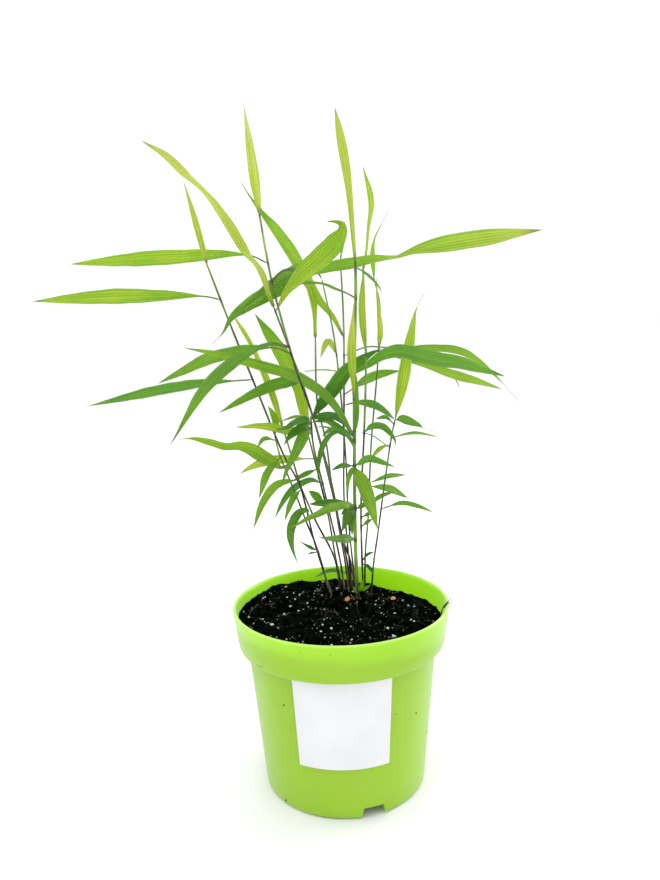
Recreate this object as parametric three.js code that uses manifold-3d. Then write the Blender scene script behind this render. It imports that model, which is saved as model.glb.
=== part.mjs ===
// A young clump of northern sea oats in a round nursery pot, in millimetres with +Z up.
// The origin is the middle of the pot's underside, and the side with the label faces -Y.
import * as THREE from 'three';
import { mergeVertices } from 'three/addons/utils/BufferGeometryUtils.js';
import Module from 'manifold-3d';

const wasm = await Module();
wasm.setup();

// Pot
const potHeight = 129;
const lipRadius = 75;
const lipRound = 1.1;
const bandFootRadius = 71.5;
const bandFootHeight = 102;
const bodyTopRadius = 65.7;
const footRadius = 56.4;
const footRound = 3.5;
const wall = 1.6;
const floorThickness = 2;
const roundSegments = 40;

// Drain notches in the foot, with a raised pocket and a hole behind each
const notchAngles = [-72, 48, 168];
const notchHeight = 7.8;
const notchHalfWidth = 9;
const notchSideSlope = 2.1;
const notchInnerRadius = 40;
const pocketWall = 1.8;
const drainHole = { radius: 48, wide: 9, deep: 7 };

// Label
const labelWidth = 63;
const labelTop = 100.3;
const labelHeight = 62;
const labelAngle = -91.2;
const labelThickness = 0.4;
const labelSteps = 12;

// Soil
const soilEdgeHeight = 118;
const soilRings = [0.88, 0.74, 0.58, 0.42, 0.26, 0.12];
const touchGap = 0.3;

// Stems and leaves
const holeClearance = 0.45;
const stemSides = 6;
const stemStep = 22;
const bladeStep = 15;
const bladeThickness = 0.95;
const bladeFold = 0.13;
const stalkWidth = 1.2;

const limeOutside = { color: 0xa8e048, roughness: 0.38, metalness: 0 };
const stickerWhite = { color: 0xf4f4f2, roughness: 0.5, metalness: 0 };
const peatBlack = { color: 0x17130f, roughness: 0.95, metalness: 0 };
const leafGreen = { color: 0x5f9f35, roughness: 0.5, metalness: 0 };

// One entry for each stem: the thickness at its foot and at its top, the points that it passes
// through, and its leaves. A leaf has the height of its root on the stem, its width, how far its
// face is tipped up at the root and at the point, in degrees, and the points that its midrib
// passes through to its point. Stalk is the bare length before the blade, where it is a long one.
const stems = [
  {
    thick: [2.3, 1.3],
    path: [[-5, 34, 108], [-15, 32, 154], [-23, 30, 178], [-30, 27, 200], [-40, 23, 230], [-43, 21, 245]],
    leaves: [
      { root: 243, width: 5, turn: [20, 20], rib: [[-44, 14, 256], [-45, 6, 267]] },
      { root: 229, width: 6, turn: [30, 10], rib: [[-48, 14, 219], [-54, 2, 203]] },
      { root: 241, width: 4, turn: [50, 30], rib: [[-50, 19, 242], [-55, 17, 236]] },
      { root: 156, width: 4, turn: [50, 30], rib: [[-22, 29, 162], [-29, 26, 165]] },
      { root: 154, width: 3, turn: [60, 60], rib: [[-20, 30, 155], [-24, 27, 154]] },
    ],
  },
  {
    thick: [2.3, 1.1],
    path: [[1, 45, 108], [-3, 44, 144], [-17, 43, 176], [-28, 41, 205], [-38, 40, 226], [-58, 36, 283],
      [-71, 32, 321], [-84, 20, 364]],
    leaves: [
      { root: 361, width: 5, turn: [20, 10], rib: [[-88, 10, 390], [-92, -2, 413]] },
      { root: 338, width: 11, turn: [30, 25], stalk: 9, rib: [[-86, 23, 341], [-137, 2, 342], [-187, -24, 340]] },
      { root: 283, width: 10, turn: [45, 40], stalk: 12, rib: [[-93, 44, 280], [-127, 56, 275], [-192, 78, 262]] },
      { root: 219, width: 11, turn: [35, 30], stalk: 8, rib: [[-60, 43, 231], [-96, 58, 235], [-121, 70, 235]] },
    ],
  },
  {
    thick: [2.3, 1.3],
    path: [[-2, 26, 108], [-17, 25, 162], [-23, 22, 193], [-30, 18, 224], [-37, 14, 253]],
    leaves: [
      { root: 250, width: 7, turn: [15, 10], rib: [[-46, 35, 277], [-59, 43, 308], [-73, 52, 331]] },
      { root: 211, width: 6, turn: [30, 10], rib: [[-42, 8, 211], [-51, 0, 201], [-59, -10, 181]] },
      { root: 200, width: 7, turn: [20, 10], rib: [[-31, 11, 197], [-37, 2, 185]] },
      { root: 185, width: 8, turn: [30, 0], rib: [[-28, 10, 190], [-35, -2, 179], [-28, -8, 157]] },
    ],
  },
  {
    thick: [2.5, 1.2],
    path: [[13, 36, 108], [8, 33, 147], [3, 30, 165], [-4, 24, 208], [-16, 12, 260], [-25, 8, 289],
      [-32, 9, 316], [-40, 14, 351], [-47, 20, 398]],
    leaves: [
      { root: 395, width: 7, turn: [15, 10], rib: [[-51, 32, 431], [-56, 46, 470]] },
      { root: 362, width: 12, turn: [25, 25], stalk: 10, rib: [[-54, 18, 367], [-109, 40, 369], [-193, 72, 369]] },
      {
        root: 348, width: 12, turn: [30, 25], stalk: 11,
        rib: [[-29, 16, 356], [0, 18, 355], [37, 12, 362], [73, -8, 369], [127, -42, 372]],
      },
      { root: 305, width: 10, turn: [45, 25], stalk: 11, rib: [[-43, -4, 308], [-76, -30, 288], [-102, -50, 250]] },
      { root: 301, width: 9, turn: [40, 30], stalk: 9, rib: [[-51, 0, 303], [-86, -14, 297], [-111, -28, 287]] },
      { root: 190, width: 4, turn: [40, 40], rib: [[-8, 21, 193], [-20, 18, 194]] },
    ],
  },
  {
    thick: [2.2, 1.4],
    path: [[4, 52, 108], [-2, 51, 140], [-7, 47, 177], [-12, 44, 203], [-22, 36, 252]],
    leaves: [
      { root: 248, width: 9, turn: [15, 10], rib: [[-26, 38, 274], [-37, 44, 298], [-56, 54, 329]] },
      { root: 186, width: 7, turn: [40, 30], rib: [[-15, 43, 193], [-21, 40, 199]] },
    ],
  },
  {
    thick: [2.4, 1.2],
    path: [[9, 52, 108], [6, 51, 141], [0, 46, 177], [-6, 38, 210], [-16, 28, 257], [-25, 24, 288],
      [-40, 20, 334]],
    leaves: [
      {
        root: 332, width: 7, turn: [20, 20],
        rib: [[-44, 12, 344], [-54, -4, 368], [-70, -20, 394], [-84, -30, 411], [-96, -39, 422],
          [-108, -48, 428]],
      },
      {
        root: 329, width: 13, turn: [35, 10],
        rib: [[-20, 2, 352], [-3, -12, 364], [7, -19, 376], [4, -25, 384], [-3, -30, 382]],
      },
      { root: 282, width: 10, turn: [40, 30], rib: [[-50, 27, 275], [-81, 20, 261]] },
      { root: 131, width: 4, turn: [60, 60], rib: [[-7, 46, 135], [-19, 40, 132]] },
    ],
  },
  {
    thick: [2.4, 1.5],
    path: [[5, 38, 108], [1, 37, 144], [-5, 34, 178], [-10, 30, 205], [-16, 25, 236], [-17, 22, 257]],
    leaves: [
      {
        root: 254, width: 13, turn: [40, 60],
        rib: [[-4, 20, 273], [12, 19, 290], [37, 17, 299], [71, 4, 296], [109, -22, 284]],
      },
      { root: 255, width: 10, turn: [30, 40], rib: [[-3, 24, 274], [9, 25, 293], [35, 28, 309]] },
      { root: 252, width: 7, turn: [60, 50], rib: [[-4, 19, 248], [9, 19, 232]] },
      { root: 254, width: 5, turn: [60, 50], rib: [[-6, 20, 258], [5, 21, 250]] },
      { root: 254, width: 4, turn: [70, 60], rib: [[-27, 8, 258], [-36, -2, 257]] },
      { root: 250, width: 5, turn: [50, 50], rib: [[-29, 6, 255], [-40, -10, 253]] },
      { root: 248, width: 6, turn: [40, 30], rib: [[-27, 6, 247], [-36, -12, 240]] },
      { root: 246, width: 9, turn: [20, 0], rib: [[-31, 1, 235], [-38, -18, 212]] },
      { root: 243, width: 7, turn: [50, 40], rib: [[-31, 3, 254], [-48, -12, 257], [-64, -30, 256]] },
      { root: 224, width: 8, turn: [40, 30], stalk: 12, rib: [[-29, 44, 223], [-56, 56, 212], [-88, 70, 195]] },
      { root: 206, width: 6, turn: [30, 20], stalk: 14, rib: [[-24, 50, 202], [-39, 61, 190], [-51, 72, 167]] },
      { root: 217, width: 4, turn: [30, 20], rib: [[-24, 24, 214], [-32, 22, 210]] },
    ],
  },
  {
    thick: [2.2, 1.2],
    path: [[8, 30, 108], [4, 35, 148], [1, 36, 168], [-4, 32, 207], [-7, 30, 238], [-12, 29, 263],
      [-12, 29, 312]],
    leaves: [
      { root: 309, width: 8, turn: [10, 10], rib: [[-17, 40, 337], [-23, 54, 364]] },
    ],
  },
  {
    thick: [2.2, 1],
    path: [[13, 49, 108], [8, 45, 174], [7, 38, 226], [5, 37, 265], [1, 30, 311], [-6, 27, 350]],
    leaves: [
      { root: 286, width: 4, turn: [85, 85], rib: [[-8, 46, 287], [-22, 60, 285]] },
      { root: 299, width: 5, turn: [10, 40], rib: [[-3, 27, 308], [-9, 22, 297]] },
      { root: 243, width: 4, turn: [50, 40], rib: [[-3, 38, 244], [-10, 39, 239]] },
    ],
  },
  {
    thick: [2.3, 1],
    path: [[10, 43, 108], [5, 36, 191], [6, 31, 237], [8, 30, 321], [7, 30, 365]],
    leaves: [
      { root: 362, width: 3, turn: [10, 10], rib: [[9, 30, 377], [11, 29, 389]] },
      { root: 311, width: 11, turn: [20, 15], rib: [[-7, 42, 332], [-32, 62, 377], [-52, 74, 406], [-67, 80, 430]] },
      {
        root: 298, width: 8, turn: [50, 40], stalk: 48,
        rib: [[24, 32, 303], [38, 37, 302], [71, 46, 300], [95, 53, 296], [118, 60, 280], [140, 64, 257]],
      },
      { root: 269, width: 8, turn: [35, 35], stalk: 14, rib: [[17, 42, 275], [32, 56, 281], [61, 68, 284]] },
      { root: 263, width: 7, turn: [50, 40], stalk: 9, rib: [[16, 24, 265], [28, 18, 263], [41, 8, 254]] },
    ],
  },
  {
    thick: [2.6, 1.5],
    path: [[13, 20, 108], [12, 19, 148], [12, 14, 194], [13, 9, 248], [14, 5, 296], [16, 1, 342],
      [16, -1, 361]],
    leaves: [
      { root: 358, width: 7, turn: [10, 10], rib: [[12, -12, 409], [5, -28, 448]] },
      {
        root: 337, width: 12, turn: [30, 25], stalk: 36,
        rib: [[4, 12, 342], [-21, 25, 343], [-42, 30, 341], [-70, 18, 323], [-82, 4, 307]],
      },
      { root: 355, width: 3, turn: [20, 20], rib: [[23, -8, 356], [32, -16, 340]] },
      { root: 270, width: 6, turn: [10, 10], rib: [[12, -8, 303], [14, -14, 334]] },
      {
        root: 243, width: 10, turn: [45, 35],
        rib: [[-3, 12, 268], [-23, 17, 283], [-50, 16, 293], [-76, 4, 302], [-97, -10, 308]],
      },
      { root: 240, width: 4, turn: [50, 0], rib: [[-2, -4, 248], [-9, -10, 241], [-13, -18, 218]] },
      { root: 221, width: 6, turn: [60, 40], rib: [[24, -4, 230], [38, -20, 227]] },
      { root: 222, width: 4, turn: [50, 40], rib: [[4, 4, 225], [-4, -3, 222]] },
      { root: 222, width: 10, turn: [25, 10], rib: [[18, -12, 212], [25, -34, 189]] },
      { root: 193, width: 8, turn: [45, 30], rib: [[-9, -8, 200], [-34, -26, 190]] },
      { root: 190, width: 6, turn: [50, 30], rib: [[-6, 4, 192], [-26, -6, 185]] },
      { root: 168, width: 8, turn: [40, 40], rib: [[-3, 2, 176], [-15, -14, 179]] },
      { root: 191, width: 5, turn: [30, 20], rib: [[4, 0, 192], [1, -8, 184]] },
      { root: 189, width: 5, turn: [20, 10], rib: [[8, 2, 186], [10, -6, 178]] },
      { root: 189, width: 4, turn: [40, 40], rib: [[17, 10, 194], [22, 6, 195]] },
      { root: 127, width: 6, turn: [10, 10], rib: [[16, 14, 144], [18, 11, 158]] },
      { root: 128, width: 5, turn: [20, 20], rib: [[18, 13, 138], [24, 9, 144]] },
    ],
  },
  {
    thick: [2.4, 1.2],
    path: [[18, 41, 108], [17, 36, 144], [17, 28, 191], [20, 18, 245], [22, 11, 294], [22, 16, 336],
      [22, 24, 357]],
    leaves: [
      { root: 354, width: 5, turn: [15, 10], rib: [[25, 30, 375], [29, 40, 403], [24, 52, 431]] },
      { root: 299, width: 5, turn: [10, 10], rib: [[20, 9, 329], [21, 6, 353]] },
      { root: 244, width: 6, turn: [60, 40], rib: [[29, 14, 248], [39, 8, 240], [49, 0, 223]] },
      { root: 180, width: 3, turn: [30, 30], rib: [[21, 27, 183], [24, 24, 185]] },
      { root: 173, width: 3, turn: [30, 30], rib: [[21, 28, 177], [25, 25, 180]] },
      { root: 146, width: 3, turn: [30, 30], rib: [[21, 33, 151], [26, 30, 154]] },
      { root: 143, width: 4, turn: [50, 40], rib: [[21, 30, 143], [25, 25, 138]] },
    ],
  },
  {
    thick: [2.3, 1.1],
    path: [[19, 51, 108], [20, 49, 145], [23, 46, 179], [26, 43, 231], [32, 45, 288], [35, 50, 331],
      [31, 54, 353]],
    leaves: [
      { root: 350, width: 4, turn: [15, 10], rib: [[30, 57, 366], [35, 62, 385], [44, 68, 400]] },
      { root: 301, width: 6, turn: [10, 10], rib: [[36, 34, 323], [32, 28, 343]] },
      { root: 299, width: 8, turn: [50, 40], stalk: 12, rib: [[52, 56, 293], [89, 70, 279], [130, 84, 265]] },
      { root: 297, width: 4, turn: [60, 50], rib: [[74, 72, 282], [99, 92, 267]] },
      { root: 202, width: 5, turn: [60, 50], rib: [[40, 54, 205], [54, 66, 203]] },
      { root: 199, width: 7, turn: [55, 40], rib: [[40, 49, 196], [54, 56, 187]] },
      { root: 185, width: 4, turn: [40, 40], rib: [[32, 40, 193], [42, 36, 197]] },
    ],
  },
  {
    thick: [2.1, 1.4],
    path: [[22, 29, 108], [25, 29, 144], [29, 27, 171], [34, 26, 205], [40, 28, 240], [43, 28, 253]],
    leaves: [
      { root: 250, width: 10, turn: [15, 10], rib: [[49, 38, 275], [56, 52, 303], [64, 66, 331], [71, 70, 341]] },
      { root: 250, width: 6, turn: [60, 50], rib: [[55, 16, 254], [70, 2, 246]] },
      { root: 248, width: 4, turn: [60, 50], rib: [[36, 30, 254], [28, 32, 250]] },
      { root: 239, width: 4, turn: [70, 60], rib: [[57, 36, 240], [76, 46, 235]] },
      { root: 232, width: 4, turn: [85, 85], rib: [[27, 28, 240], [18, 29, 243]] },
      { root: 233, width: 4, turn: [50, 40], rib: [[32, 24, 232], [24, 20, 225]] },
      { root: 186, width: 4, turn: [50, 40], stalk: 8, rib: [[45, 14, 194], [55, 4, 194], [65, -8, 192]] },
    ],
  },
];

const radians = THREE.MathUtils.degToRad;
const clamp = THREE.MathUtils.clamp;
const lerp = THREE.MathUtils.lerp;
const smoothstep = THREE.MathUtils.smoothstep;

// Closed solid through a row of rings, each with its points counter-clockwise seen from ahead.
// Neighbouring faces are split in mirrored diagonals, so that a twisted blade's two faces agree.
function loft(rings) {
  const sides = rings[0].length;
  const positions = [];
  const indices = [];
  for (const ring of rings) {
    for (const point of ring) {
      positions.push(point.x, point.y, point.z);
    }
  }
  for (let step = 0; step < rings.length - 1; step++) {
    for (let side = 0; side < sides; side++) {
      const next = (side + 1) % sides;
      const a = step * sides + side;
      const b = step * sides + next;
      const c = b + sides;
      const d = a + sides;
      if (side % 2 === 0) {
        indices.push(a, b, c, a, c, d);
      } else {
        indices.push(a, b, d, b, c, d);
      }
    }
  }
  const last = (rings.length - 1) * sides;
  for (let corner = 2; corner < sides; corner++) {
    const here = corner % sides;
    const next = (corner + 1) % sides;
    indices.push(1, next, here);
    indices.push(last + 1, last + here, last + next);
  }
  const geometry = new THREE.BufferGeometry();
  geometry.setAttribute('position', new THREE.Float32BufferAttribute(positions, 3));
  geometry.setIndex(indices);
  return geometry;
}

function toSolid(geometry) {
  const bare = geometry.clone();
  bare.deleteAttribute('normal');
  bare.deleteAttribute('uv');
  const merged = mergeVertices(bare, 1e-4);
  const vertProperties = new Float32Array(merged.attributes.position.array);
  const triVerts = new Uint32Array(merged.index.array);
  return new wasm.Manifold(new wasm.Mesh({ numProp: 3, vertProperties, triVerts }));
}

function toGeometry(solid) {
  const mesh = solid.getMesh();
  const geometry = new THREE.BufferGeometry();
  geometry.setAttribute('position', new THREE.Float32BufferAttribute(mesh.vertProperties, 3));
  geometry.setIndex(Array.from(mesh.triVerts));
  geometry.computeVertexNormals();
  return geometry;
}

function named(name, geometry, finish) {
  const mesh = new THREE.Mesh(geometry, new THREE.MeshStandardMaterial(finish));
  mesh.name = name;
  return mesh;
}

function turned(profile) {
  const points = profile.map(([radius, height]) => new THREE.Vector2(radius, height));
  return new THREE.LatheGeometry(points, roundSegments).rotateX(Math.PI / 2);
}

function arcPoints(centreRadius, centreHeight, radius, from, to, steps) {
  const points = [];
  for (let step = 0; step <= steps; step++) {
    const angle = radians(lerp(from, to, step / steps));
    points.push([centreRadius + radius * Math.cos(angle), centreHeight + radius * Math.sin(angle)]);
  }
  return points;
}

// Outside radius of the pot's body below the band
function bodyRadius(height) {
  return lerp(footRadius, bodyTopRadius, height / bandFootHeight);
}

// Outside radius of the band under the lip
function bandRadius(height) {
  return lerp(bandFootRadius, lipRadius, (height - bandFootHeight) / (potHeight - bandFootHeight));
}

function potProfile() {
  const lipCentre = potHeight - lipRound;
  const stepRound = 1.2;
  return [
    [0, 0],
    ...arcPoints(bodyRadius(footRound) - footRound, footRound, footRound, -90, 0, 2),
    [bodyTopRadius - 0.2, bandFootHeight - stepRound],
    [bodyTopRadius + 1, bandFootHeight - 0.2],
    [bandFootRadius - stepRound, bandFootHeight],
    [bandFootRadius, bandFootHeight + stepRound],
    ...arcPoints(lipRadius - lipRound, lipCentre, lipRound, 0, 120, 2),
    [bandRadius(lipCentre - 3) - wall - 0.6, lipCentre - 3],
    [bandRadius(bandFootHeight + 1) - wall, bandFootHeight + 1],
    [bodyTopRadius - wall, bandFootHeight - 2],
    [bodyRadius(floorThickness) - wall, floorThickness],
    [0, floorThickness],
  ];
}

// Block with sloping sides that runs outward along one notch, from its inner end to past the wall
function notchBlock(angle, halfWidth, bottom, top, from, to) {
  const section = new THREE.Shape([
    new THREE.Vector2(-halfWidth, bottom),
    new THREE.Vector2(halfWidth, bottom),
    new THREE.Vector2(halfWidth - notchSideSlope, top),
    new THREE.Vector2(-halfWidth + notchSideSlope, top),
  ]);
  const block = new THREE.ExtrudeGeometry(section, { depth: to - from, bevelEnabled: false });
  block.rotateX(Math.PI / 2).rotateZ(Math.PI / 2).translate(from, 0, 0);
  return toSolid(block.rotateZ(radians(angle)));
}

function makePot() {
  let pot = toSolid(turned(potProfile()));
  const innerEnd = notchInnerRadius - pocketWall;
  const insideWall = footRadius - wall / 2;
  for (const angle of notchAngles) {
    const pocketTop = notchHeight + pocketWall;
    pot = pot.add(notchBlock(angle, notchHalfWidth + pocketWall, 0.5, pocketTop, innerEnd, insideWall));
    pot = pot.subtract(notchBlock(angle, notchHalfWidth, -1, notchHeight, notchInnerRadius, lipRadius));
    const hole = new THREE.BoxGeometry(drainHole.deep, drainHole.wide, 3 * pocketWall);
    hole.translate(drainHole.radius, 0, notchHeight + pocketWall / 2).rotateZ(radians(angle));
    pot = pot.subtract(toSolid(hole));
  }
  return named('pot', toGeometry(pot), limeOutside);
}

// Rectangular sticker bent round the front of the tapered wall
function makeLabel() {
  const middleHeight = labelTop - labelHeight / 2;
  const onWall = (along, up, lift) => {
    const height = middleHeight + up;
    const angle = along / bodyRadius(middleHeight) + radians(labelAngle);
    const radius = bodyRadius(height) + lift;
    return new THREE.Vector3(radius * Math.cos(angle), radius * Math.sin(angle), height);
  };
  const rings = [];
  for (let step = 0; step <= labelSteps; step++) {
    const along = lerp(-labelWidth / 2, labelWidth / 2, step / labelSteps);
    const outside = touchGap + labelThickness;
    rings.push([
      onWall(along, -labelHeight / 2, touchGap),
      onWall(along, -labelHeight / 2, outside),
      onWall(along, labelHeight / 2, outside),
      onWall(along, labelHeight / 2, touchGap),
    ].reverse());
  }
  const geometry = toGeometry(toSolid(loft(rings)));
  return named('label', geometry, stickerWhite);
}

// Height of the soil over its edge: a mound round the clump, higher at the back left
function moundHeight(x, y) {
  const bump = (cx, cy, spread, height) => {
    const away = ((x - cx) ** 2 + (y - cy) ** 2) / (2 * spread ** 2);
    return height * Math.exp(-away);
  };
  const crumbs = 0.6 * Math.sin(0.23 * x + 0.6) * Math.cos(0.19 * y - 0.4);
  return bump(4, 26, 22, 5) + bump(-28, 42, 18, 3) - bump(44, 40, 16, 3) + crumbs;
}

function makeSoil(holes) {
  const edgeRadius = bandRadius(soilEdgeHeight) - wall - touchGap - 0.5;
  const geometry = turned([
    [0, floorThickness + touchGap],
    [bodyRadius(floorThickness) - wall - touchGap, floorThickness + touchGap],
    [bodyTopRadius - wall - touchGap - 0.1, bandFootHeight - 2],
    [bandRadius(bandFootHeight + 1) - wall - touchGap - 0.5, bandFootHeight + 1.6],
    [edgeRadius, soilEdgeHeight],
    ...soilRings.map((share) => [edgeRadius * share, soilEdgeHeight]),
    [0, soilEdgeHeight],
  ]);
  const position = geometry.attributes.position;
  for (let index = 0; index < position.count; index++) {
    if (position.getZ(index) > soilEdgeHeight - 1) {
      const rise = moundHeight(position.getX(index), position.getY(index));
      position.setZ(index, soilEdgeHeight + rise);
    }
  }
  let soil = toSolid(geometry);
  for (const angle of notchAngles) {
    const halfWidth = notchHalfWidth + pocketWall + touchGap;
    const top = notchHeight + pocketWall + touchGap;
    const from = notchInnerRadius - pocketWall - touchGap;
    soil = soil.subtract(notchBlock(angle, halfWidth, 0, top, from, lipRadius));
  }
  for (const hole of holes) {
    soil = soil.subtract(hole);
  }
  return named('soil', toGeometry(soil), peatBlack);
}

function toCurve(points) {
  const vectors = points.map((point) => (point.isVector3 ? point : new THREE.Vector3(...point)));
  return new THREE.CatmullRomCurve3(vectors, false, 'centripetal');
}

// Rings of a stem from its foot up, thicker all round by extra
function stemRings(stem, extra) {
  const curve = toCurve(stem.path);
  const steps = Math.round(curve.getLength() / stemStep);
  const rings = [];
  for (let step = 0; step <= steps; step++) {
    const share = step / steps;
    const centre = curve.getPointAt(share);
    const ahead = curve.getTangentAt(share);
    const across = new THREE.Vector3(0, 1, 0).cross(ahead).normalize();
    const behind = ahead.clone().cross(across);
    const radius = lerp(stem.thick[0], stem.thick[1], share) / 2 + extra;
    const ring = [];
    for (let side = 0; side < stemSides; side++) {
      const angle = (2 * Math.PI * side) / stemSides;
      const point = centre.clone().addScaledVector(across, radius * Math.cos(angle));
      ring.push(point.addScaledVector(behind, radius * Math.sin(angle)));
    }
    rings.push(ring);
  }
  return rings;
}

// Plain hole round the buried foot of a stem, open above the soil
function stemHole(stem) {
  const rings = stemRings(stem, holeClearance).slice(0, 3);
  for (const point of rings[0]) {
    point.z -= holeClearance;
  }
  return toSolid(loft(rings));
}

// Share of a blade's full width at a place along it: widest before the middle, with a long point
function bladeOutline(share) {
  const before = 0.8;
  const after = 1.3;
  const widest = before / (before + after);
  const peak = widest ** before * (1 - widest) ** after;
  return (share ** before * (1 - share) ** after) / peak;
}

function stemPointAtHeight(curve, height) {
  let low = 0;
  let high = 1;
  for (let round = 0; round < 24; round++) {
    const middle = (low + high) / 2;
    if (curve.getPointAt(middle).z < height) {
      low = middle;
    } else {
      high = middle;
    }
  }
  return curve.getPointAt(low);
}

// Blade folded lightly along its midrib, with a keel below
function bladeSolid(stem, leaf) {
  const root = stemPointAtHeight(toCurve(stem.path), leaf.root);
  const midrib = toCurve([root, ...leaf.rib]);
  const length = midrib.getLength();
  const steps = clamp(Math.round(length / bladeStep), 5, 11);
  const stalkShare = (leaf.stalk ?? 3) / length;
  const side = Math.sign(leaf.rib.at(-1)[0] - root.x);
  const rings = [];
  for (let step = 0; step <= steps; step++) {
    const share = step / steps;
    const centre = midrib.getPointAt(share);
    const ahead = midrib.getTangentAt(share);
    const front = new THREE.Vector3(0, -1, 0);
    front.addScaledVector(ahead, -front.dot(ahead)).normalize();
    const up = front.clone().cross(ahead).multiplyScalar(side);
    const turn = radians(lerp(leaf.turn[0], leaf.turn[1], share));
    const face = front.multiplyScalar(Math.cos(turn)).addScaledVector(up, Math.sin(turn));
    const across = ahead.clone().cross(face);
    const grown = clamp((share - stalkShare) / (1 - stalkShare), 0, 1);
    const half = Math.max(stalkWidth, leaf.width * bladeOutline(grown)) / 2;
    const narrowed = share === 1 ? 0.3 : half;
    const thickness = bladeThickness * (share === 1 ? 0.5 : 1);
    const fold = half * bladeFold;
    const edge = centre.clone().addScaledVector(face, fold);
    rings.push([
      edge.clone().addScaledVector(across, -narrowed),
      centre.clone().addScaledVector(face, thickness * 0.2 - fold),
      edge.clone().addScaledVector(across, narrowed),
      centre.clone().addScaledVector(face, -thickness * 0.8 - fold),
    ]);
  }
  return toSolid(loft(rings));
}

function makeStem(stem, index) {
  const pieces = [toSolid(loft(stemRings(stem, 0)))];
  for (const leaf of stem.leaves) {
    pieces.push(bladeSolid(stem, leaf));
  }
  const joined = wasm.Manifold.union(pieces);
  return named(`leafy_stem_${index + 1}`, toGeometry(joined), leafGreen);
}

const plant = new THREE.Group();
plant.add(makePot());
plant.add(makeLabel());
plant.add(makeSoil(stems.map(stemHole)));
stems.forEach((stem, index) => plant.add(makeStem(stem, index)));

export default plant;
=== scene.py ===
"""Potted northern sea oats: a lime green nursery pot, black potting soil, and a tuft of dark stems
with long arching leaves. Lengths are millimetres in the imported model's frame and angles are
degrees, but lights, floor, materials and node trees count in metres and radians."""
import math
import random

import bmesh
import bpy
from mathutils import Matrix, Vector, noise


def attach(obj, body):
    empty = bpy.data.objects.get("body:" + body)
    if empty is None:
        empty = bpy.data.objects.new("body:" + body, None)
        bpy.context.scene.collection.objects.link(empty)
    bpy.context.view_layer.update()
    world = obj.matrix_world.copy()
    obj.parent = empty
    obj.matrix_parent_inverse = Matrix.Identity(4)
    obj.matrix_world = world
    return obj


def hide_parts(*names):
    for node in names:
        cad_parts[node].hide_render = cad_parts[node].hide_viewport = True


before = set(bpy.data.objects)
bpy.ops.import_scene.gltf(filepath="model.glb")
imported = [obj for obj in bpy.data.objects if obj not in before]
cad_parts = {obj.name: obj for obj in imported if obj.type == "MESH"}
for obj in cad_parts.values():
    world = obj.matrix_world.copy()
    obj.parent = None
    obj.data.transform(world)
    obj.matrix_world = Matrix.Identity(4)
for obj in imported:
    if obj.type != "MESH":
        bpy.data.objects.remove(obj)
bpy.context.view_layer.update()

MM = 0.001
FULL_TURN = 6.283

# Pot

POT_HEIGHT = 129
LIP_RADIUS = 75
LIP_ROUND = 1.1
BAND_FOOT_RADIUS = 71.5
BAND_FOOT_HEIGHT = 102
BODY_TOP_RADIUS = 65.7
FOOT_RADIUS = 56.4
FOOT_ROUND = 3.5
POT_WALL = 1.6
POT_FLOOR = 2
POT_SEGMENTS = 192

NOTCH_ANGLES = (-72, 48, 168)
NOTCH_HEIGHT = 7.8
NOTCH_HALF_WIDTH = 9
NOTCH_SIDE_SLOPE = 2.1
NOTCH_INNER_RADIUS = 40
POCKET_WALL = 1.8
DRAIN_HOLE = dict(radius=48, wide=9, deep=7)

# Sticker: it lies a little off the wall, ripples, and lifts along its lower edge

LABEL_WIDTH = 63
LABEL_HEIGHT = 62
LABEL_TOP = 100.3
LABEL_ANGLE = -91.2
LABEL_THICKNESS = 0.2
LABEL_GAP = 0.12
LABEL_RIPPLE = 0.10
LABEL_LIFT = 0.15
LABEL_STEPS = 40

# Soil: a heap or hollow has its place seen from above, its spread and its height

SOIL_EDGE_HEIGHT = 118
SOIL_TILT = 3.7
SOIL_HEAPS = ((4, 26, 22, 5), (-46, 52, 12, 2.6), (38, 58, 15, -3))
CLOD_WIDTH = 9
CLOD_HEIGHT = 1.6
CRUMB_WIDTH = 2.6
CRUMB_HEIGHT = 1.5
SOIL_GAP = 0.4
SOIL_RINGS = 88
SOIL_SEGMENTS = 210
GRAIN_REACH = 70.4

# Fibres strewn on the soil: how far from the axis they start and end, their points and their spacing

FIBRE_START = 64
FIBRE_REACH = 66
FIBRE_POINTS = 9
FIBRE_STEP = 1.4

# Curves: steps between two given points, and the fewest points and their spacing along a path

CURVE_STEPS = 24
FEWEST_STEPS = 12
STEM_STEP = 2.5
BLADE_STEP = 2.6

# Stems: where joints that carry no leaf may stand, and shares of the thickness at foot, top and point

FIRST_JOINT = 16
LAST_JOINT = 20
JOINT_ROOM = 14
JOINT_GAPS = (26, 44)
JOINT_HALF_LENGTH = 1.3
STEM_TAPER = (0.84, 0.94)
STEM_POINT = 0.45
STEM_POINT_LENGTH = 7

# Leaves: half widths at which a stalk turns into a blade, and the sizes of both

BLADE_STARTS = (0.2, 1.6)
POINT_POWER = 1.12
BLADE_HALF_THICKNESS = 0.15
STALK_HALF_THICKNESS = 0.42
STALK_HALF_WIDTH = 0.55
THREAD_HALF_WIDTH = 0.14
KEEL_DEPTH = 0.22
BLADE_FOLD = 0.13
RIB_SPACING = 1.9

# The last number key carries a painted sky sheen for the top faces of leaves that turn up
NUMBER_KEYS = ("is_stem", "radius", "green", "joint",
               "half", "body", "keel", "fold", "along", "tone", "seed", "ribs", "ripe", "painted_sky_sheen")
VECTOR_KEYS = ("centre", "side", "facing")

# Camera, light and floor: a lamp has its name, place, aim, size and power, in metres and watts

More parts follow.
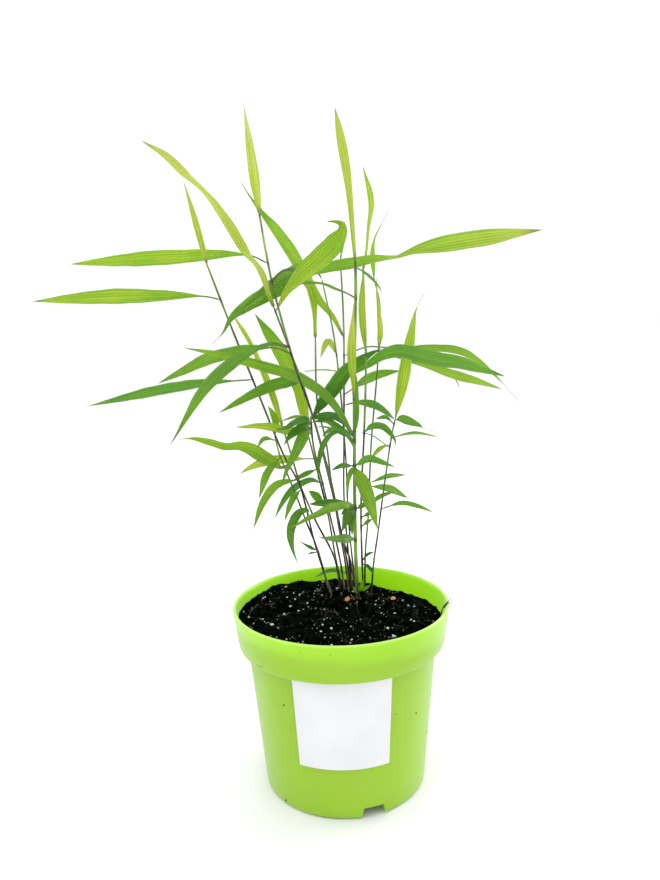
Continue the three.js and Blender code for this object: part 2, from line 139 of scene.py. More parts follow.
CAMERA_PLACE = (-4, -506, 326)
CAMERA_DOWN = 9.34
CAMERA_ROLL = -1.79
CAMERA_FOCUS = 760 / 880
SENSOR_HEIGHT = 36
ROOM_LIGHT = 1.08
FLOOR_REACH = 40
SOFTBOXES = (
    ("Overhead softbox", (-0.15, -0.75, 1.6), (0, 0, 0.15), 1.3, 9),
    ("Back softbox", (0.3, 1.3, 1.2), (0, 0, 0.3), 1.3, 5),
    ("Right rim softbox", (1.0, 0.5, 0.45), (0, 0, 0.08), 0.8, 7.5),
    ("Left rim softbox", (-1.0, 0.5, 0.45), (0, 0, 0.08), 0.8, 3),
)

# Lumps on the soil: each one's place seen from above, and half its width

WHITE_GRAINS = (
    (38, 4, 0.85), (49, 20, 0.85), (31, -22, 0.94), (34, -34, 1.27), (-7, -50, 0.85),
    (5, -46, 0.59), (23, -44, 0.68), (-2, 45, 0.94), (-13, 65, 1.02), (-64, -6, 0.77),
    (-47, -20, 1.02), (50, -10, 0.68), (48, -8, 0.77), (-7, -25, 0.85), (-14, -28, 0.77),
    (-30, 32, 0.68), (-36, 12, 0.77), (-24, 17, 0.77), (-30, 5, 0.68), (-40, 0, 0.68),
    (-54, -11, 0.68), (46, 29, 0.68), (25, 15, 0.59), (-33, 22, 0.77), (-57, 28, 0.68),
)
TAN_GRAINS = ((-41, 47, 1.2), (39, 28, 1.4))
OLD_STUMP = ((5, 17, 1.9),)
DEAD_SHEATHS = ((9, 19, 1.5), (11, 13, 1.1), (7, 8.5, 1.1), (0.5, 24, 1.1))

# Straws on the soil, by points seen from above, and the twig over the rim, by points in space

STRAWS = (((-65, -7), (-63, 5), (-60, 18)), ((-57, 16), (-52, 17), (-47, 17)), ((17, 44), (20, 36), (23, 29)))
TWIGS = (((66, -24, 118), (67, -20, 123), (69, -16, 127.6), (73.5, -11, 130.4), (76, -8, 131.4)),
         ((70, -14, 127), (72.6, -15, 130.5), (76, -14, 130)))

# Specks of peat on the pot's wall: angle round the axis, height, and half the width

POT_SPECKS = (
    (-165, 109.5, 0.45), (-140.7, 104.6, 0.35), (-138.1, 104.8, 0.45), (-135.9, 105.4, 0.3), (-127.8, 78.9, 0.55),
    (-58.6, 72.2, 0.35), (-41, 65.3, 0.5), (-136.7, 3.8, 0.7), (-96.2, 123.2, 0.3), (-110.8, 123.7, 0.3),
    (-20, 40, 0.4), (60, 88, 0.5), (95, 52, 0.4), (140, 112, 0.45), (170, 30, 0.5), (118, 95, 0.3),
)

# The plant's table


def leaf(root, width, turn, rib, stalk=3, tone=0.5, peak=0.42, thread=0.0, outline=None, tip_tone=None):
    """A leaf: the height of its root on the stem, its width, how far its face tips up at even places
    along it, the points that its midrib passes through, the bare stalk's length, its colour from
    deep green to yellow green at its foot and its point, where it is widest, and the share that is
    a thread-like point. An outline gives shares of the width at even places instead."""
    return dict(root=root, width=width, turn=turn, rib=rib, stalk=stalk, peak=peak, thread=thread,
                tones=(tone, tone if tip_tone is None else tip_tone), outline=outline)


def stem(thick, green, path, leaves):
    """A stem: its thickness at foot and top, the heights where it turns from dark to green, the
    points that it passes through, and its leaves."""
    return dict(thick=thick, green=green, path=path, leaves=leaves)


STEMS = {
    "leafy_stem_1": stem(
        (1.7, 1.4), (215, 245),
        [(-5, 34, 108), (-15, 32, 154), (-23, 30, 178), (-30, 27, 200), (-40, 23, 230), (-43, 21, 245)],
        [
            leaf(243, 5, (20, 20), [(-41, 16, 252.5), (-42.5, 11, 260), (-45.5, 7, 266.5)], tone=0.6, peak=0.5),
            leaf(229, 6, (30, 10), [(-48, 14, 219), (-54, 2, 203)], tone=0.4),
            leaf(241, 4, (50, 30), [(-50, 19, 242), (-55, 17, 236)], tone=0.5),
            leaf(156, 2.8, (50, 30), [(-17, 33, 156), (-23, 30, 160), (-29, 27, 165)], tone=0.15,
                 outline=(0.5, 1, 0.95, 0.7, 0.4, 0.25)),
            leaf(154, 2, (60, 60), [(-17, 33, 154), (-23, 30, 154)], tone=0.1),
        ],
    ),
    "leafy_stem_2": stem(
        (1.8, 1.6), (312, 332),
        [(1, 45, 108), (-3, 44, 144), (-17, 43, 176), (-28, 41, 205), (-38, 40, 226), (-58, 36, 283),
         (-71, 32, 321), (-84, 20, 364)],
        [
            leaf(361, 4.2, (20, 10), [(-88, 10, 390), (-92, -2, 413)], tone=0.9, tip_tone=1.15,
                 outline=(0.5, 0.75, 0.95, 1, 1, 0.95, 0.82, 0.66, 0.46, 0.24)),
            leaf(338, 11, (30, 25), [(-86, 23, 341), (-137, 2, 342), (-187, -24, 340)], stalk=11,
                 tone=0.56, tip_tone=0.85, peak=0.5),
            leaf(283, 10, (45, 40), [(-93, 44, 280), (-127, 56, 275), (-192, 78, 262)], stalk=12,
                 tone=0.3, peak=0.45, thread=0.02),
            leaf(219, 11, (35, 30),
                 [(-41, 44, 216), (-47, 46, 220), (-55, 50, 224), (-64, 54, 229), (-72, 57, 231),
                  (-83, 61, 230), (-95, 65, 233), (-110, 69, 236), (-122, 71, 235)], stalk=7, tone=0.62,
                 outline=(0.2, 0.8, 1, 0.92, 0.68, 0.58, 0.54, 0.48, 0.34, 0.1)),
        ],
    ),
    "leafy_stem_3": stem(
        (1.7, 1.5), (200, 250),
        [(-2, 26, 108), (-17, 25, 162), (-23, 22, 193), (-30, 18, 224), (-37, 14, 253)],
        [
            leaf(250, 5.2, (15, 10), [(-46, 35, 277), (-59, 43, 308), (-73, 52, 331)], tone=0.9, tip_tone=1.0,
                 outline=(0.4, 0.65, 0.9, 1, 0.95, 0.82, 0.68, 0.6, 0.55, 0.35)),
            leaf(211, 6, (30, 10), [(-42, 8, 211), (-51, 0, 201), (-59, -10, 181)], tone=0.45, thread=0.06),
            leaf(206, 4.6, (20, 10), [(-31, 8, 201), (-34, 4, 195), (-37, 0, 187)], tone=0.4),
            leaf(185, 6.6, (30, 20, 10, 0),
                 [(-22, 14, 191), (-27, 8, 191), (-31, 3, 186), (-33, -2, 179), (-32, -6, 170), (-28, -9, 158)],
                 tone=0.28, outline=(0.2, 0.4, 0.6, 0.85, 1, 1, 0.85, 0.6, 0.35, 0.15)),
        ],
    ),
    "leafy_stem_4": stem(
        (1.9, 1.6), (300, 420),
        [(13, 36, 108), (8, 33, 147), (3, 30, 165), (-4, 24, 208), (-16, 12, 260), (-25, 8, 289),
         (-32, 9, 316), (-40, 14, 351), (-47, 20, 398)],
        [
            leaf(393, 6.8, (15, 10), [(-51, 32, 431), (-56, 46, 470)], tone=1.0, tip_tone=1.3,
                 outline=(0.38, 0.68, 0.9, 0.98, 1, 0.93, 0.8, 0.62, 0.42, 0.2)),
            leaf(362, 12, (25, 25), [(-54, 18, 367), (-109, 40, 369), (-193, 72, 369)], stalk=12, tone=0.55,
                 tip_tone=0.8, peak=0.49),
            leaf(349, 11.5, (40, 35, 35, 40, 62, 112, 148, 155, 158, 158),
                 [(-35, 14, 354), (-29, 18, 357), (-14, 20, 355), (2, 18, 358), (13, 14, 359), (28, 8, 361),
                  (36, 4, 361), (45, -2, 362), (63, -14, 366), (80, -24, 368), (102, -34, 370), (126, -42, 372)],
                 stalk=15, tone=0.4, tip_tone=1.0,
                 outline=(0.2, 0.45, 0.75, 0.9, 0.85, 0.8, 0.85, 0.95, 1, 0.97, 0.8, 0.45)),
            leaf(305, 10, (45, 25), [(-43, -4, 308), (-76, -30, 288), (-102, -50, 250)], stalk=13, tone=0.35,
                 outline=(0.3, 0.42, 0.6, 0.85, 1, 0.98, 0.82, 0.62, 0.4, 0.18)),
            leaf(301, 10, (40, 30),
                 [(-38, 9, 305), (-62, 18, 304), (-76, 19, 301), (-89, 18, 297.5), (-102, 15, 291.5),
                  (-120, 11, 283.5)], stalk=12, tone=0.4, peak=0.5),
            leaf(190, 4, (40, 40), [(-8, 21, 193), (-20, 18, 194)], tone=0.3),
        ],
    ),
    "leafy_stem_5": stem(
        (1.7, 1.5), (190, 255),
        [(4, 52, 108), (-2, 51, 140), (-7, 47, 177), (-12, 44, 203), (-22, 36, 252)],
        [
            leaf(248, 11, (15, 10), [(-25, 38, 274), (-36, 44, 298), (-56, 54, 329)], tone=0.9, tip_tone=0.4,
                 outline=(0.5, 0.65, 0.8, 0.82, 0.9, 1, 1, 0.82, 0.62, 0.32)),
            leaf(186, 7, (40, 30), [(-15, 43, 193), (-21, 40, 199)], tone=0.3),
        ],
    ),
    "leafy_stem_6": stem(
        (1.8, 1.5), (300, 350),
        [(9, 52, 108), (6, 51, 141), (0, 46, 177), (-6, 38, 210), (-16, 28, 257), (-25, 24, 288),
         (-40, 20, 334)],
        [
            leaf(332, 6.4, (15, 10, 20, 62, 15, 10, 30, 60, 58, 25, 5, 5),
                 [(-42, 13, 341), (-46, 9, 355), (-55, 1, 368), (-64, -10, 385), (-75, -22, 401), (-86, -32, 412),
                  (-95, -40, 421), (-107, -48, 428)], tone=1.0, tip_tone=1.15,
                 outline=(0.4, 0.55, 0.7, 0.9, 1, 0.95, 0.9, 0.95, 0.95, 0.85, 0.5)),
            leaf(329, 15, (25, 25, 25, 20, 30),
                 [(-30, 12, 342), (-20, 2, 352), (-9, -6, 360), (2, -14, 369), (8, -20, 377), (7, -25, 381),
                  (3, -28, 382), (-2, -30, 382)], tone=0.85, tip_tone=0.6,
                 outline=(0.08, 0.25, 0.42, 0.6, 0.78, 0.92, 1, 0.97, 0.8, 0.45, 0.2)),
            leaf(282, 10.4, (40, 30), [(-40, 27, 279), (-56, 26, 273), (-81, 20, 261)], tone=0.4,
                 outline=(0.6, 0.95, 1, 0.95, 0.88, 0.78, 0.66, 0.54, 0.4, 0.2)),
            leaf(131, 4, (60, 60), [(-7, 46, 135), (-19, 40, 132)], tone=0.35),
        ],
    ),
    "leafy_stem_7": stem(
        (1.8, 1.5), (230, 275),
        [(5, 38, 108), (1, 37, 144), (-5, 34, 178), (-10, 30, 205), (-16, 25, 236), (-17, 22, 257)],
        [
            leaf(254, 13, (40, 45),
                 [(-3, 24, 269), (8, 22, 283), (16, 20, 287), (25, 19, 292), (35, 17, 298), (45, 14, 300),
                  (58, 8, 297), (71, 2, 294), (83, -5, 292), (92, -11, 289), (102, -17, 286), (109, -22, 284)],
                 tone=0.3, tip_tone=0.4,
                 outline=(0.2, 0.2, 0.24, 0.3, 0.6, 0.88, 0.98, 1, 0.8, 0.48)),
            leaf(255, 11.5, (20, 30),
                 [(-7, 26, 267), (2, 25, 278), (9, 24, 287), (19, 23, 294), (27, 22, 299), (34, 21, 302)], tone=0.15),
            leaf(252, 7.4, (60, 50),
                 [(-6, 16, 254), (-1, 13, 251), (4, 10, 247.5), (8, 8, 244.5), (11, 7, 239), (13, 5, 233.5)], tone=0.3),
            leaf(254, 8.5, (60, 50), [(-8, 20, 256.5), (-1, 18, 256), (3, 14, 254), (6, 10, 251)], tone=0.1,
                 outline=(0.4, 0.8, 1, 1, 0.9, 0.75, 0.5)),
            leaf(254, 4, (70, 60), [(-27, 8, 258), (-36, -2, 257)], tone=0.4),
            leaf(250, 6, (50, 50), [(-21, 8, 256), (-27, 2, 255), (-33, -4, 252.5), (-40, -10, 252)], tone=0.15),
            leaf(248, 6.8, (40, 30), [(-22, 8, 251), (-28, 2, 248), (-32, -4, 245), (-35, -8, 241)], tone=0.2),
            leaf(246, 7.6, (20, 0), [(-22, 4, 245), (-27, -2, 236), (-33, -10, 226), (-38, -18, 213)], tone=0.4,
                 outline=(0.12, 0.45, 0.8, 1, 0.98, 0.85, 0.66, 0.46, 0.3, 0.14)),
            leaf(243, 7, (45, 35),
                 [(-21, 19, 248), (-28, 14, 247.5), (-34.5, 8, 249), (-42.5, 3, 252), (-52, -5, 254.5),
                  (-59, -14, 255.5), (-65, -23, 257)], tone=0.85, peak=0.3),
            leaf(224, 8, (40, 30),
                 [(-26, 42, 222.5), (-38.5, 52, 220.5), (-51.5, 58, 218.5), (-63.5, 62, 214), (-74.5, 65, 207.5),
                  (-81, 67, 201), (-88, 70, 195)], stalk=14, tone=0.75, tip_tone=1.0, thread=0.2, peak=0.5),
            leaf(206, 5.6, (30, 20),
                 [(-19, 44, 206), (-27, 50, 202), (-35, 56, 195), (-42, 62, 185), (-47, 68, 175), (-52, 72, 164)],
                 stalk=5, tone=0.2, thread=0.08),
            leaf(217, 4, (30, 20), [(-24, 24, 214), (-32, 22, 210)], tone=0.3),
        ],
    ),
    "leafy_stem_8": stem(
        (1.6, 1.4), (240, 300),
        [(8, 30, 108), (4, 35, 148), (1, 36, 168), (-4, 32, 207), (-7, 30, 238), (-12, 29, 263),
         (-12, 29, 312)],
        [
            leaf(309, 5.8, (10, 10), [(-12, 29, 319), (-12, 31, 330), (-13, 35, 339), (-16, 40, 350), (-20, 47, 362)],
                 tone=0.85, outline=(0.4, 0.42, 0.48, 0.62, 0.85, 1, 1, 0.85, 0.55, 0.25)),
        ],
    ),
    "leafy_stem_9": stem(
        (1.6, 1.2), (265, 305),
        [(13, 49, 108), (8, 45, 174), (7, 38, 226), (5, 37, 265), (1, 30, 311), (-6, 27, 350)],
        [
            leaf(349, 8.5, (30, 35, 30, 25),
                 [(-10, 28, 357), (-17, 26, 360), (-24, 25, 358), (-31, 23, 353), (-42, 19, 346), (-52, 14, 338),
                  (-62, 8, 330)], tone=0.45, tip_tone=0.35,
                 outline=(0.15, 0.3, 0.6, 0.85, 1, 1, 0.9, 0.7, 0.48, 0.22)),
            leaf(286, 4, (85, 85), [(-8, 46, 287), (-22, 60, 285)], tone=0.5),
            leaf(299, 5, (10, 40), [(-3, 27, 308), (-9, 22, 297)], tone=1.0),
            leaf(243, 4, (50, 40), [(-3, 38, 244), (-10, 39, 239)], tone=0.3),
        ],
    ),
    "leafy_stem_10": stem(
        (1.7, 1.3), (250, 330),
        [(10, 43, 108), (5, 36, 191), (6, 31, 237), (8, 30, 321), (7, 30, 365)],
        [
            leaf(362, 3, (10, 10), [(9, 30, 377), (11, 29, 389)], tone=0.6),
            leaf(311, 9.4, (20, 15),
                 [(1, 34, 324), (-9, 40, 337), (-18, 48, 353), (-28, 58, 372), (-39, 68, 389), (-49, 74, 402),
                  (-58, 78, 415), (-65, 80, 427)], tone=0.95, tip_tone=0.4,
                 outline=(0.2, 0.42, 0.62, 0.8, 0.92, 1, 0.9, 0.68, 0.36, 0.14)),
            leaf(298, 8, (50, 40),
                 [(24, 32, 303), (38, 37, 302), (71, 46, 300), (95, 53, 296), (118, 60, 280), (140, 64, 257)],
                 stalk=48, tone=0.56, thread=0.12),
            leaf(269, 8, (35, 35), [(17, 42, 275), (32, 56, 281), (61, 68, 284)], stalk=14, tone=0.45,
                 thread=0.15),
            leaf(263, 7, (50, 40), [(16, 24, 265), (28, 18, 263), (41, 8, 254)], stalk=9, tone=0.3),
        ],
    ),
    "leafy_stem_11": stem(
        (3.5, 2.2), (115, 150),
        [(13, 20, 108), (12, 19, 148), (12, 14, 194), (13, 9, 248), (14, 5, 296), (16, 1, 342),
         (16, -1, 361)],
        [
            leaf(358, 6, (10, 10), [(12, -12, 409), (5, -28, 448)], tone=0.85, tip_tone=1.2,
                 outline=(0.34, 0.4, 0.48, 0.56, 0.66, 0.76, 0.88, 1, 0.92, 0.55)),
            leaf(337, 12.5, (30, 45, 62, 40, 28, 25, 25, 30),
                 [(10, 8, 340), (3, 14, 343), (-6, 20, 347), (-16, 24, 348), (-24, 26, 349), (-35, 26, 345),
                  (-48, 22, 339), (-58, 16, 333), (-67, 8, 326), (-73, 2, 316), (-80, -4, 309)],
                 stalk=12, tone=0.5, tip_tone=0.3, thread=0.06,
                 outline=(0.1, 0.25, 0.28, 0.45, 0.8, 1, 1, 0.9, 0.7, 0.42, 0.2)),
            leaf(355, 2.6, (30, 50), [(21, -4, 353), (26, -9, 348), (30, -13, 343), (32, -16, 339)], tone=0.3),
            leaf(270, 6, (10, 10), [(12, -8, 303), (14, -14, 334)], tone=1.0,
                 outline=(0.38, 0.42, 0.55, 0.85, 1, 1, 0.9, 0.7, 0.45, 0.2)),
            leaf(243, 9.4, (45, 35), [(-3, 12, 268), (-23, 17, 283), (-50, 16, 293), (-76, 4, 302),
                                      (-97, -10, 308)], tone=0.42, tip_tone=0.66,
                 outline=(0.3, 0.6, 0.8, 0.92, 1, 0.98, 0.9, 0.75, 0.55, 0.3)),
            leaf(240, 4, (50, 40, 20, 0),
                 [(7, -2, 247), (2, -5, 249), (-3, -8, 248), (-7, -11, 244), (-10, -13, 238), (-12, -15, 229),
                  (-13, -18, 217)], tone=0.2, outline=(0.25, 0.45, 0.55, 0.6, 0.85, 1, 1, 0.85, 0.55, 0.25)),
            leaf(246, 3, (60, 50), [(5, -2, 246), (2, 0, 248), (-3, 4, 250), (-9, 7, 251), (-14, 9, 250.5)], tone=0.35),
            leaf(221, 6, (50, 40), [(22, -6, 230), (33, -16, 228), (38, -21, 227)], tone=0.35),
            leaf(222, 4.4, (50, 40), [(4, 4, 224), (-4, -1, 222)], tone=0.2),
            leaf(222, 10, (25, 10), [(18, -12, 212), (25, -34, 189)], tone=0.55),
            leaf(193, 6.4, (45, 30),
                 [(6, 0, 197.5), (-1, -6, 198), (-7, -12, 198), (-13, -18, 196.5), (-20, -23, 195), (-26, -28, 193),
                  (-33, -33, 191)], tone=0.5, outline=(0.25, 0.6, 0.85, 1, 1, 0.85, 0.65, 0.45, 0.25)),
            leaf(190, 5, (50, 40), [(3, 6, 197), (-9, 4, 199), (-20, 0, 199)], tone=0.2),
            leaf(168, 6.6, (40, 40), [(5, 0, 173.5), (-1, -5, 175), (-7, -10, 177), (-14, -16, 180)], tone=0.3,
                 outline=(0.2, 0.45, 0.75, 1, 0.95, 0.75, 0.5, 0.25)),
            leaf(191, 8, (30, 20), [(8, 0, 192), (6, -4, 189), (4, -7, 185), (2, -9, 181)], tone=0.15),
            leaf(192, 5, (50, 40), [(8, 4, 193), (5, 6, 192), (2, 8, 188)], tone=0.1),
            leaf(190, 5.5, (20, 10), [(10, -2, 190), (9, -6, 185), (9, -10, 178)], tone=0.2),
            leaf(222, 3.6, (30, 20), [(9, -3, 220), (7, -5, 214), (7, -7, 205)], tone=0.4),
            leaf(246, 2.7, (10, 10), [(14, 2, 252), (15, 1, 262), (15, 0, 273), (15, 0, 281), (14, 0, 290)], tone=0.35,
                 outline=(0.5, 0.8, 1, 1, 0.9, 0.7, 0.4)),
            leaf(189, 4, (40, 40), [(17, 10, 194), (22, 6, 195)], tone=0.2),
            leaf(127, 3.2, (10, 10), [(15, 14, 133), (17, 12, 140)], tone=0.5),
            leaf(128, 2.6, (20, 20), [(18, 14, 132), (22, 11, 136)], tone=0.4),
            leaf(126, 2.2, (20, 20), [(11, 15, 130), (9, 14, 134)], tone=0.4),
        ],
    ),
    "leafy_stem_12": stem(
        (1.8, 1.6), (225, 300),
        [(18, 41, 108), (17, 36, 144), (17, 28, 191), (20, 18, 245), (22, 11, 294), (22, 16, 336),
         (22, 24, 357)],
        [
            leaf(354, 4.2, (15, 10),
                 [(25, 28, 369), (27, 36, 384), (30, 44, 401), (29, 48, 412), (27, 50, 420), (25, 52, 429)],
                 tone=0.85, outline=(0.4, 0.4, 0.42, 0.45, 0.52, 0.7, 0.95, 1, 0.8, 0.42)),
            leaf(299, 5, (10, 10), [(20, 9, 329), (22, 8, 357)], tone=0.8),
            leaf(244, 6, (50, 35), [(24, 12, 249), (29, 10, 250), (33, 8, 249), (37, 6, 245), (40, 4, 241),
                                     (41, 2, 235), (44, 1, 229), (50, 0, 224)], tone=0.2, thread=0.32),
            leaf(180, 3, (30, 30), [(21, 27, 183), (24, 24, 185)], tone=0.2),
            leaf(173, 3, (30, 30), [(21, 28, 177), (25, 25, 180)], tone=0.2),
            leaf(146, 2.2, (30, 30), [(21, 33, 151), (26, 30, 154)], tone=0.0),
            leaf(143, 3.2, (50, 40), [(21, 30, 143), (25, 25, 138)], tone=0.0),
        ],
    ),
    "leafy_stem_13": stem(
        (1.6, 1.3), (200, 345),
        [(19, 51, 108), (20, 49, 145), (23, 46, 179), (26, 43, 231), (32, 45, 288), (35, 50, 331),
         (31, 54, 353)],
        [
            leaf(350, 3.8, (15, 10), [(31, 55, 361), (31, 57, 371), (33, 60, 380), (36, 62, 386), (44, 68, 400)],
                 tone=0.7, thread=0.2, outline=(0.35, 0.7, 1, 1, 0.8, 0.5, 0.32, 0.28, 0.2)),
            leaf(301, 4.4, (10, 10), [(34, 38, 314), (33, 36, 328), (32, 35, 341), (32, 35, 351)], tone=0.95,
                 outline=(0.45, 0.85, 1, 0.95, 0.8, 0.62, 0.48, 0.38, 0.3, 0.2)),
            leaf(299, 9, (50, 40), [(52, 56, 292), (71, 64, 286), (89, 70, 279), (111, 77, 272), (131, 84, 265)],
                 stalk=12, tone=0.66, peak=0.55),
            leaf(297, 4, (60, 50), [(53, 62, 293), (74, 72, 287), (88, 80, 281), (95, 85, 274), (99, 89, 266)],
                 tone=0.4, peak=0.6),
            leaf(202, 5, (60, 50), [(40, 54, 205), (54, 66, 203)], tone=0.4),
            leaf(199, 7, (55, 40), [(40, 49, 196), (54, 56, 187)], tone=0.45),
            leaf(185, 4, (40, 40), [(32, 40, 193), (42, 36, 197)], tone=0.35),
        ],
    ),
    "leafy_stem_14": stem(
        (1.6, 1.4), (140, 255),
        [(22, 29, 108), (25, 29, 144), (29, 27, 171), (34, 26, 205), (40, 28, 240), (43, 28, 253)],
        [
            leaf(250, 8.8, (15, 10), [(49, 38, 275), (56, 52, 303), (64, 66, 331), (71, 70, 341)], tone=0.8,
                 thread=0.12),
            leaf(250, 8, (45, 50), [(46, 22, 253), (52, 14, 251), (58, 9, 249), (62, 5, 247), (71, 2, 246)], tone=0.3,
                 thread=0.3),
            leaf(248, 4.4, (60, 50), [(36, 29, 253), (29, 31, 252)], tone=0.3),
            leaf(239, 4, (70, 60), [(57, 36, 240), (76, 46, 235)], tone=0.5),
            leaf(232, 3, (85, 85), [(27, 28, 240), (18, 29, 243)], tone=0.2),
            leaf(233, 4, (50, 40), [(32, 24, 232), (24, 20, 225)], tone=0.85),
            leaf(186, 4, (50, 40), [(45, 14, 194), (55, 4, 194), (65, -8, 192)], stalk=8, tone=0.3),
        ],
    ),
}


# Numbers and curves


def lerp(a, b, share):
    return a + (b - a) * share


def clamp(value):
    return max(0.0, min(1.0, value))


def smooth(low, high, value):
    share = clamp((value - low) / (high - low))
    return share * share * (3 - 2 * share)


def between(values, share):
    """Value at a share of the way through a row of evenly placed values, on a smooth curve."""
    place = share * (len(values) - 1)
    at = min(int(place), len(values) - 2)
    t = place - at
    start, end = values[at], values[at + 1]
    slope_in = (end - values[at - 1]) / 2 if at > 0 else end - start
    slope_out = (values[at + 2] - start) / 2 if at + 2 < len(values) else end - start
    turned = 2 * t ** 3 - 3 * t ** 2
    return (turned + 1) * start - turned * end + (t ** 3 - 2 * t ** 2 + t) * slope_in + (t ** 3 - t ** 2) * slope_out


def even_path(points, spacing):
    """Evenly spaced points on a smooth curve through the given points, in metres, and its length."""
    given = [Vector(p) * MM for p in points]
    rail = [2 * given[0] - given[1], *given, 2 * given[-1] - given[-2]]
    dense = []
    for before, start, end, after in zip(rail, rail[1:], rail[2:], rail[3:]):
        gaps = [max((q - p).length ** 0.5, 1e-6) for p, q in ((before, start), (start, end), (end, after))]
        t1, t2, t3 = gaps[0], gaps[0] + gaps[1], sum(gaps)
        for step in range(CURVE_STEPS):
            t = lerp(t1, t2, step / CURVE_STEPS)
            a1 = before.lerp(start, t / t1)
            a2 = start.lerp(end, (t - t1) / (t2 - t1))
            a3 = end.lerp(after, (t - t2) / (t3 - t2))
            b1 = a1.lerp(a2, t / t2)
            b2 = a2.lerp(a3, (t - t1) / (t3 - t1))
            dense.append(b1.lerp(b2, (t - t1) / (t2 - t1)))
    dense.append(given[-1])
    run = [0.0]
    for p, q in zip(dense, dense[1:]):
        run.append(run[-1] + (q - p).length)
    steps = max(FEWEST_STEPS, round(run[-1] / (spacing * MM)))
    path, at = [], 0
    for step in range(steps + 1):
        want = run[-1] * step / steps
        while at < len(dense) - 2 and run[at + 1] < want:
            at += 1
        share = (want - run[at]) / max(run[at + 1] - run[at], 1e-9)
        path.append(dense[at].lerp(dense[at + 1], clamp(share)))
    return path, run[-1]


def headings(path):
    last = len(path) - 1
    return [(path[min(i + 1, last)] - path[max(i - 1, 0)]).normalized() for i in range(last + 1)]


# Nodes


class Output:
    """One output of a node. A sum, difference or product of outputs adds a node to their tree."""

    def __init__(self, socket):
        self.socket = socket
        self.tree = socket.id_data

    def __add__(self, other):
        return maths("ADD", self, other)

    def __sub__(self, other):
        return maths("SUBTRACT", self, other)

    def __rsub__(self, other):
        return maths("SUBTRACT", other, self)

    def __mul__(self, other):
        return maths("MULTIPLY", self, other)

    def beside(self, name):
        """Another output of the same node."""
        return Output(self.socket.node.outputs[name])


def add(tree, kind, inputs=None, output=0, **settings):
    """Adds a node with its settings, and its inputs joined to outputs or set to plain values."""
    node = tree.nodes.new(kind)
    for key, value in settings.items():
        setattr(node, key, value)
    for key, value in (inputs or {}).items():
        if isinstance(value, Output):
            tree.links.new(value.socket, node.inputs[key])
        else:
            node.inputs[key].default_value = value
    return Output(node.outputs[output])


def maths(operation, *terms):
    tree = next(term.tree for term in terms if isinstance(term, Output))
    return add(tree, "ShaderNodeMath", dict(enumerate(terms)), operation=operation)


def scaled(vector, factor):
    return add(vector.tree, "ShaderNodeVectorMath", {0: vector, "Scale": factor}, operation="SCALE")


def summed(first, second):
    return add(first.tree, "ShaderNodeVectorMath", {0: first, 1: second}, operation="ADD")


def ranged(value, from_low, from_high, to_low=0.0, to_high=1.0):
    return add(value.tree, "ShaderNodeMapRange", dict(enumerate((value, from_low, from_high, to_low, to_high))))


def mixed(factor, first, second):
    """A colour between two colours."""
    first, second = (c if isinstance(c, Output) else (*c, 1) for c in (first, second))
    return add(factor.tree, "ShaderNodeMix", {0: factor, 6: first, 7: second}, 2, data_type="RGBA")


def noise_at(place, scale, detail=2.0, output="Fac", **more):
    inputs = {"Vector": place, "Scale": scale, "Detail": detail, **more}
    return add(place.tree, "ShaderNodeTexNoise", inputs, output)


def stretched(place, stretch):
    return add(place.tree, "ShaderNodeMapping", {"Vector": place, "Scale": stretch})


def height_of(place):
    return add(place.tree, "ShaderNodeSeparateXYZ", {0: place}, "Z")


def new_tree(name, inputs):
    """An empty geometry tree with named inputs, and the outputs that bring them into it."""
    tree = bpy.data.node_groups.new(name, "GeometryNodeTree")
    tree.interface.new_socket("Geometry", in_out="INPUT", socket_type="NodeSocketGeometry")
    tree.interface.new_socket("Geometry", in_out="OUTPUT", socket_type="NodeSocketGeometry")
    for label, (kind, value) in inputs.items():
        socket = tree.interface.new_socket(label, in_out="INPUT", socket_type="NodeSocket" + kind)
        if value is not None:
            socket.default_value = value
    sockets = tree.nodes.new("NodeGroupInput").outputs
    return tree, {socket.name: Output(socket) for socket in sockets if socket.name}


def whole_tree(geometry):
    """Makes a geometry the result of its tree, and gives the tree."""
    tree = geometry.tree
    tree.links.new(geometry.socket, tree.nodes.new("NodeGroupOutput").inputs["Geometry"])
    return tree


def named_value(tree, name, kind="FLOAT"):
    return add(tree, "GeometryNodeInputNamedAttribute", {"Name": name}, "Attribute", data_type=kind)


def stored(geometry, name, value, domain="POINT"):
    inputs = {"Geometry": geometry, "Name": name, "Value": value}
    return add(geometry.tree, "GeometryNodeStoreNamedAttribute", inputs, data_type="FLOAT", domain=domain)


def changed(geometry, kind, inputs=None, **settings):
    """A geometry after one node that takes it in under its usual name."""
    return add(geometry.tree, "GeometryNode" + kind, {"Geometry": geometry, **(inputs or {})}, **settings)


def joined(*parts):
    tree = parts[0].tree
    node = tree.nodes.new("GeometryNodeJoinGeometry")
    for part in parts:
        tree.links.new(part.socket, node.inputs[0])
    return Output(node.outputs[0])


def tubes_along(lines, sides):
    """Round, closed tubes along the lines of a mesh, with the radius of each of their points."""
    tree = lines.tree
    return add(tree, "GeometryNodeCurveToMesh", {
        "Curve": add(tree, "GeometryNodeMeshToCurve", {"Mesh": lines}),
        "Profile Curve": add(tree, "GeometryNodeCurvePrimitiveCircle", {"Resolution": sides, "Radius": 1.0}),
        "Scale": named_value(tree, "radius"), "Fill Caps": True,
    })


# Meshes and pieces


def new_mesh(name, vertices, faces=(), edges=()):
    mesh = bpy.data.meshes.new(name)
    mesh.from_pydata([tuple(v) for v in vertices], list(edges), list(faces))
    mesh.update()
    return mesh


def built_mesh(name, build):
    """Ends a mesh that was built corner by corner."""
    mesh = bpy.data.meshes.new(name)
    build.to_mesh(mesh)
    build.free()
    return mesh


def new_object(name, mesh):
    piece = bpy.data.objects.new(name, mesh)
    bpy.context.scene.collection.objects.link(piece)
    return piece


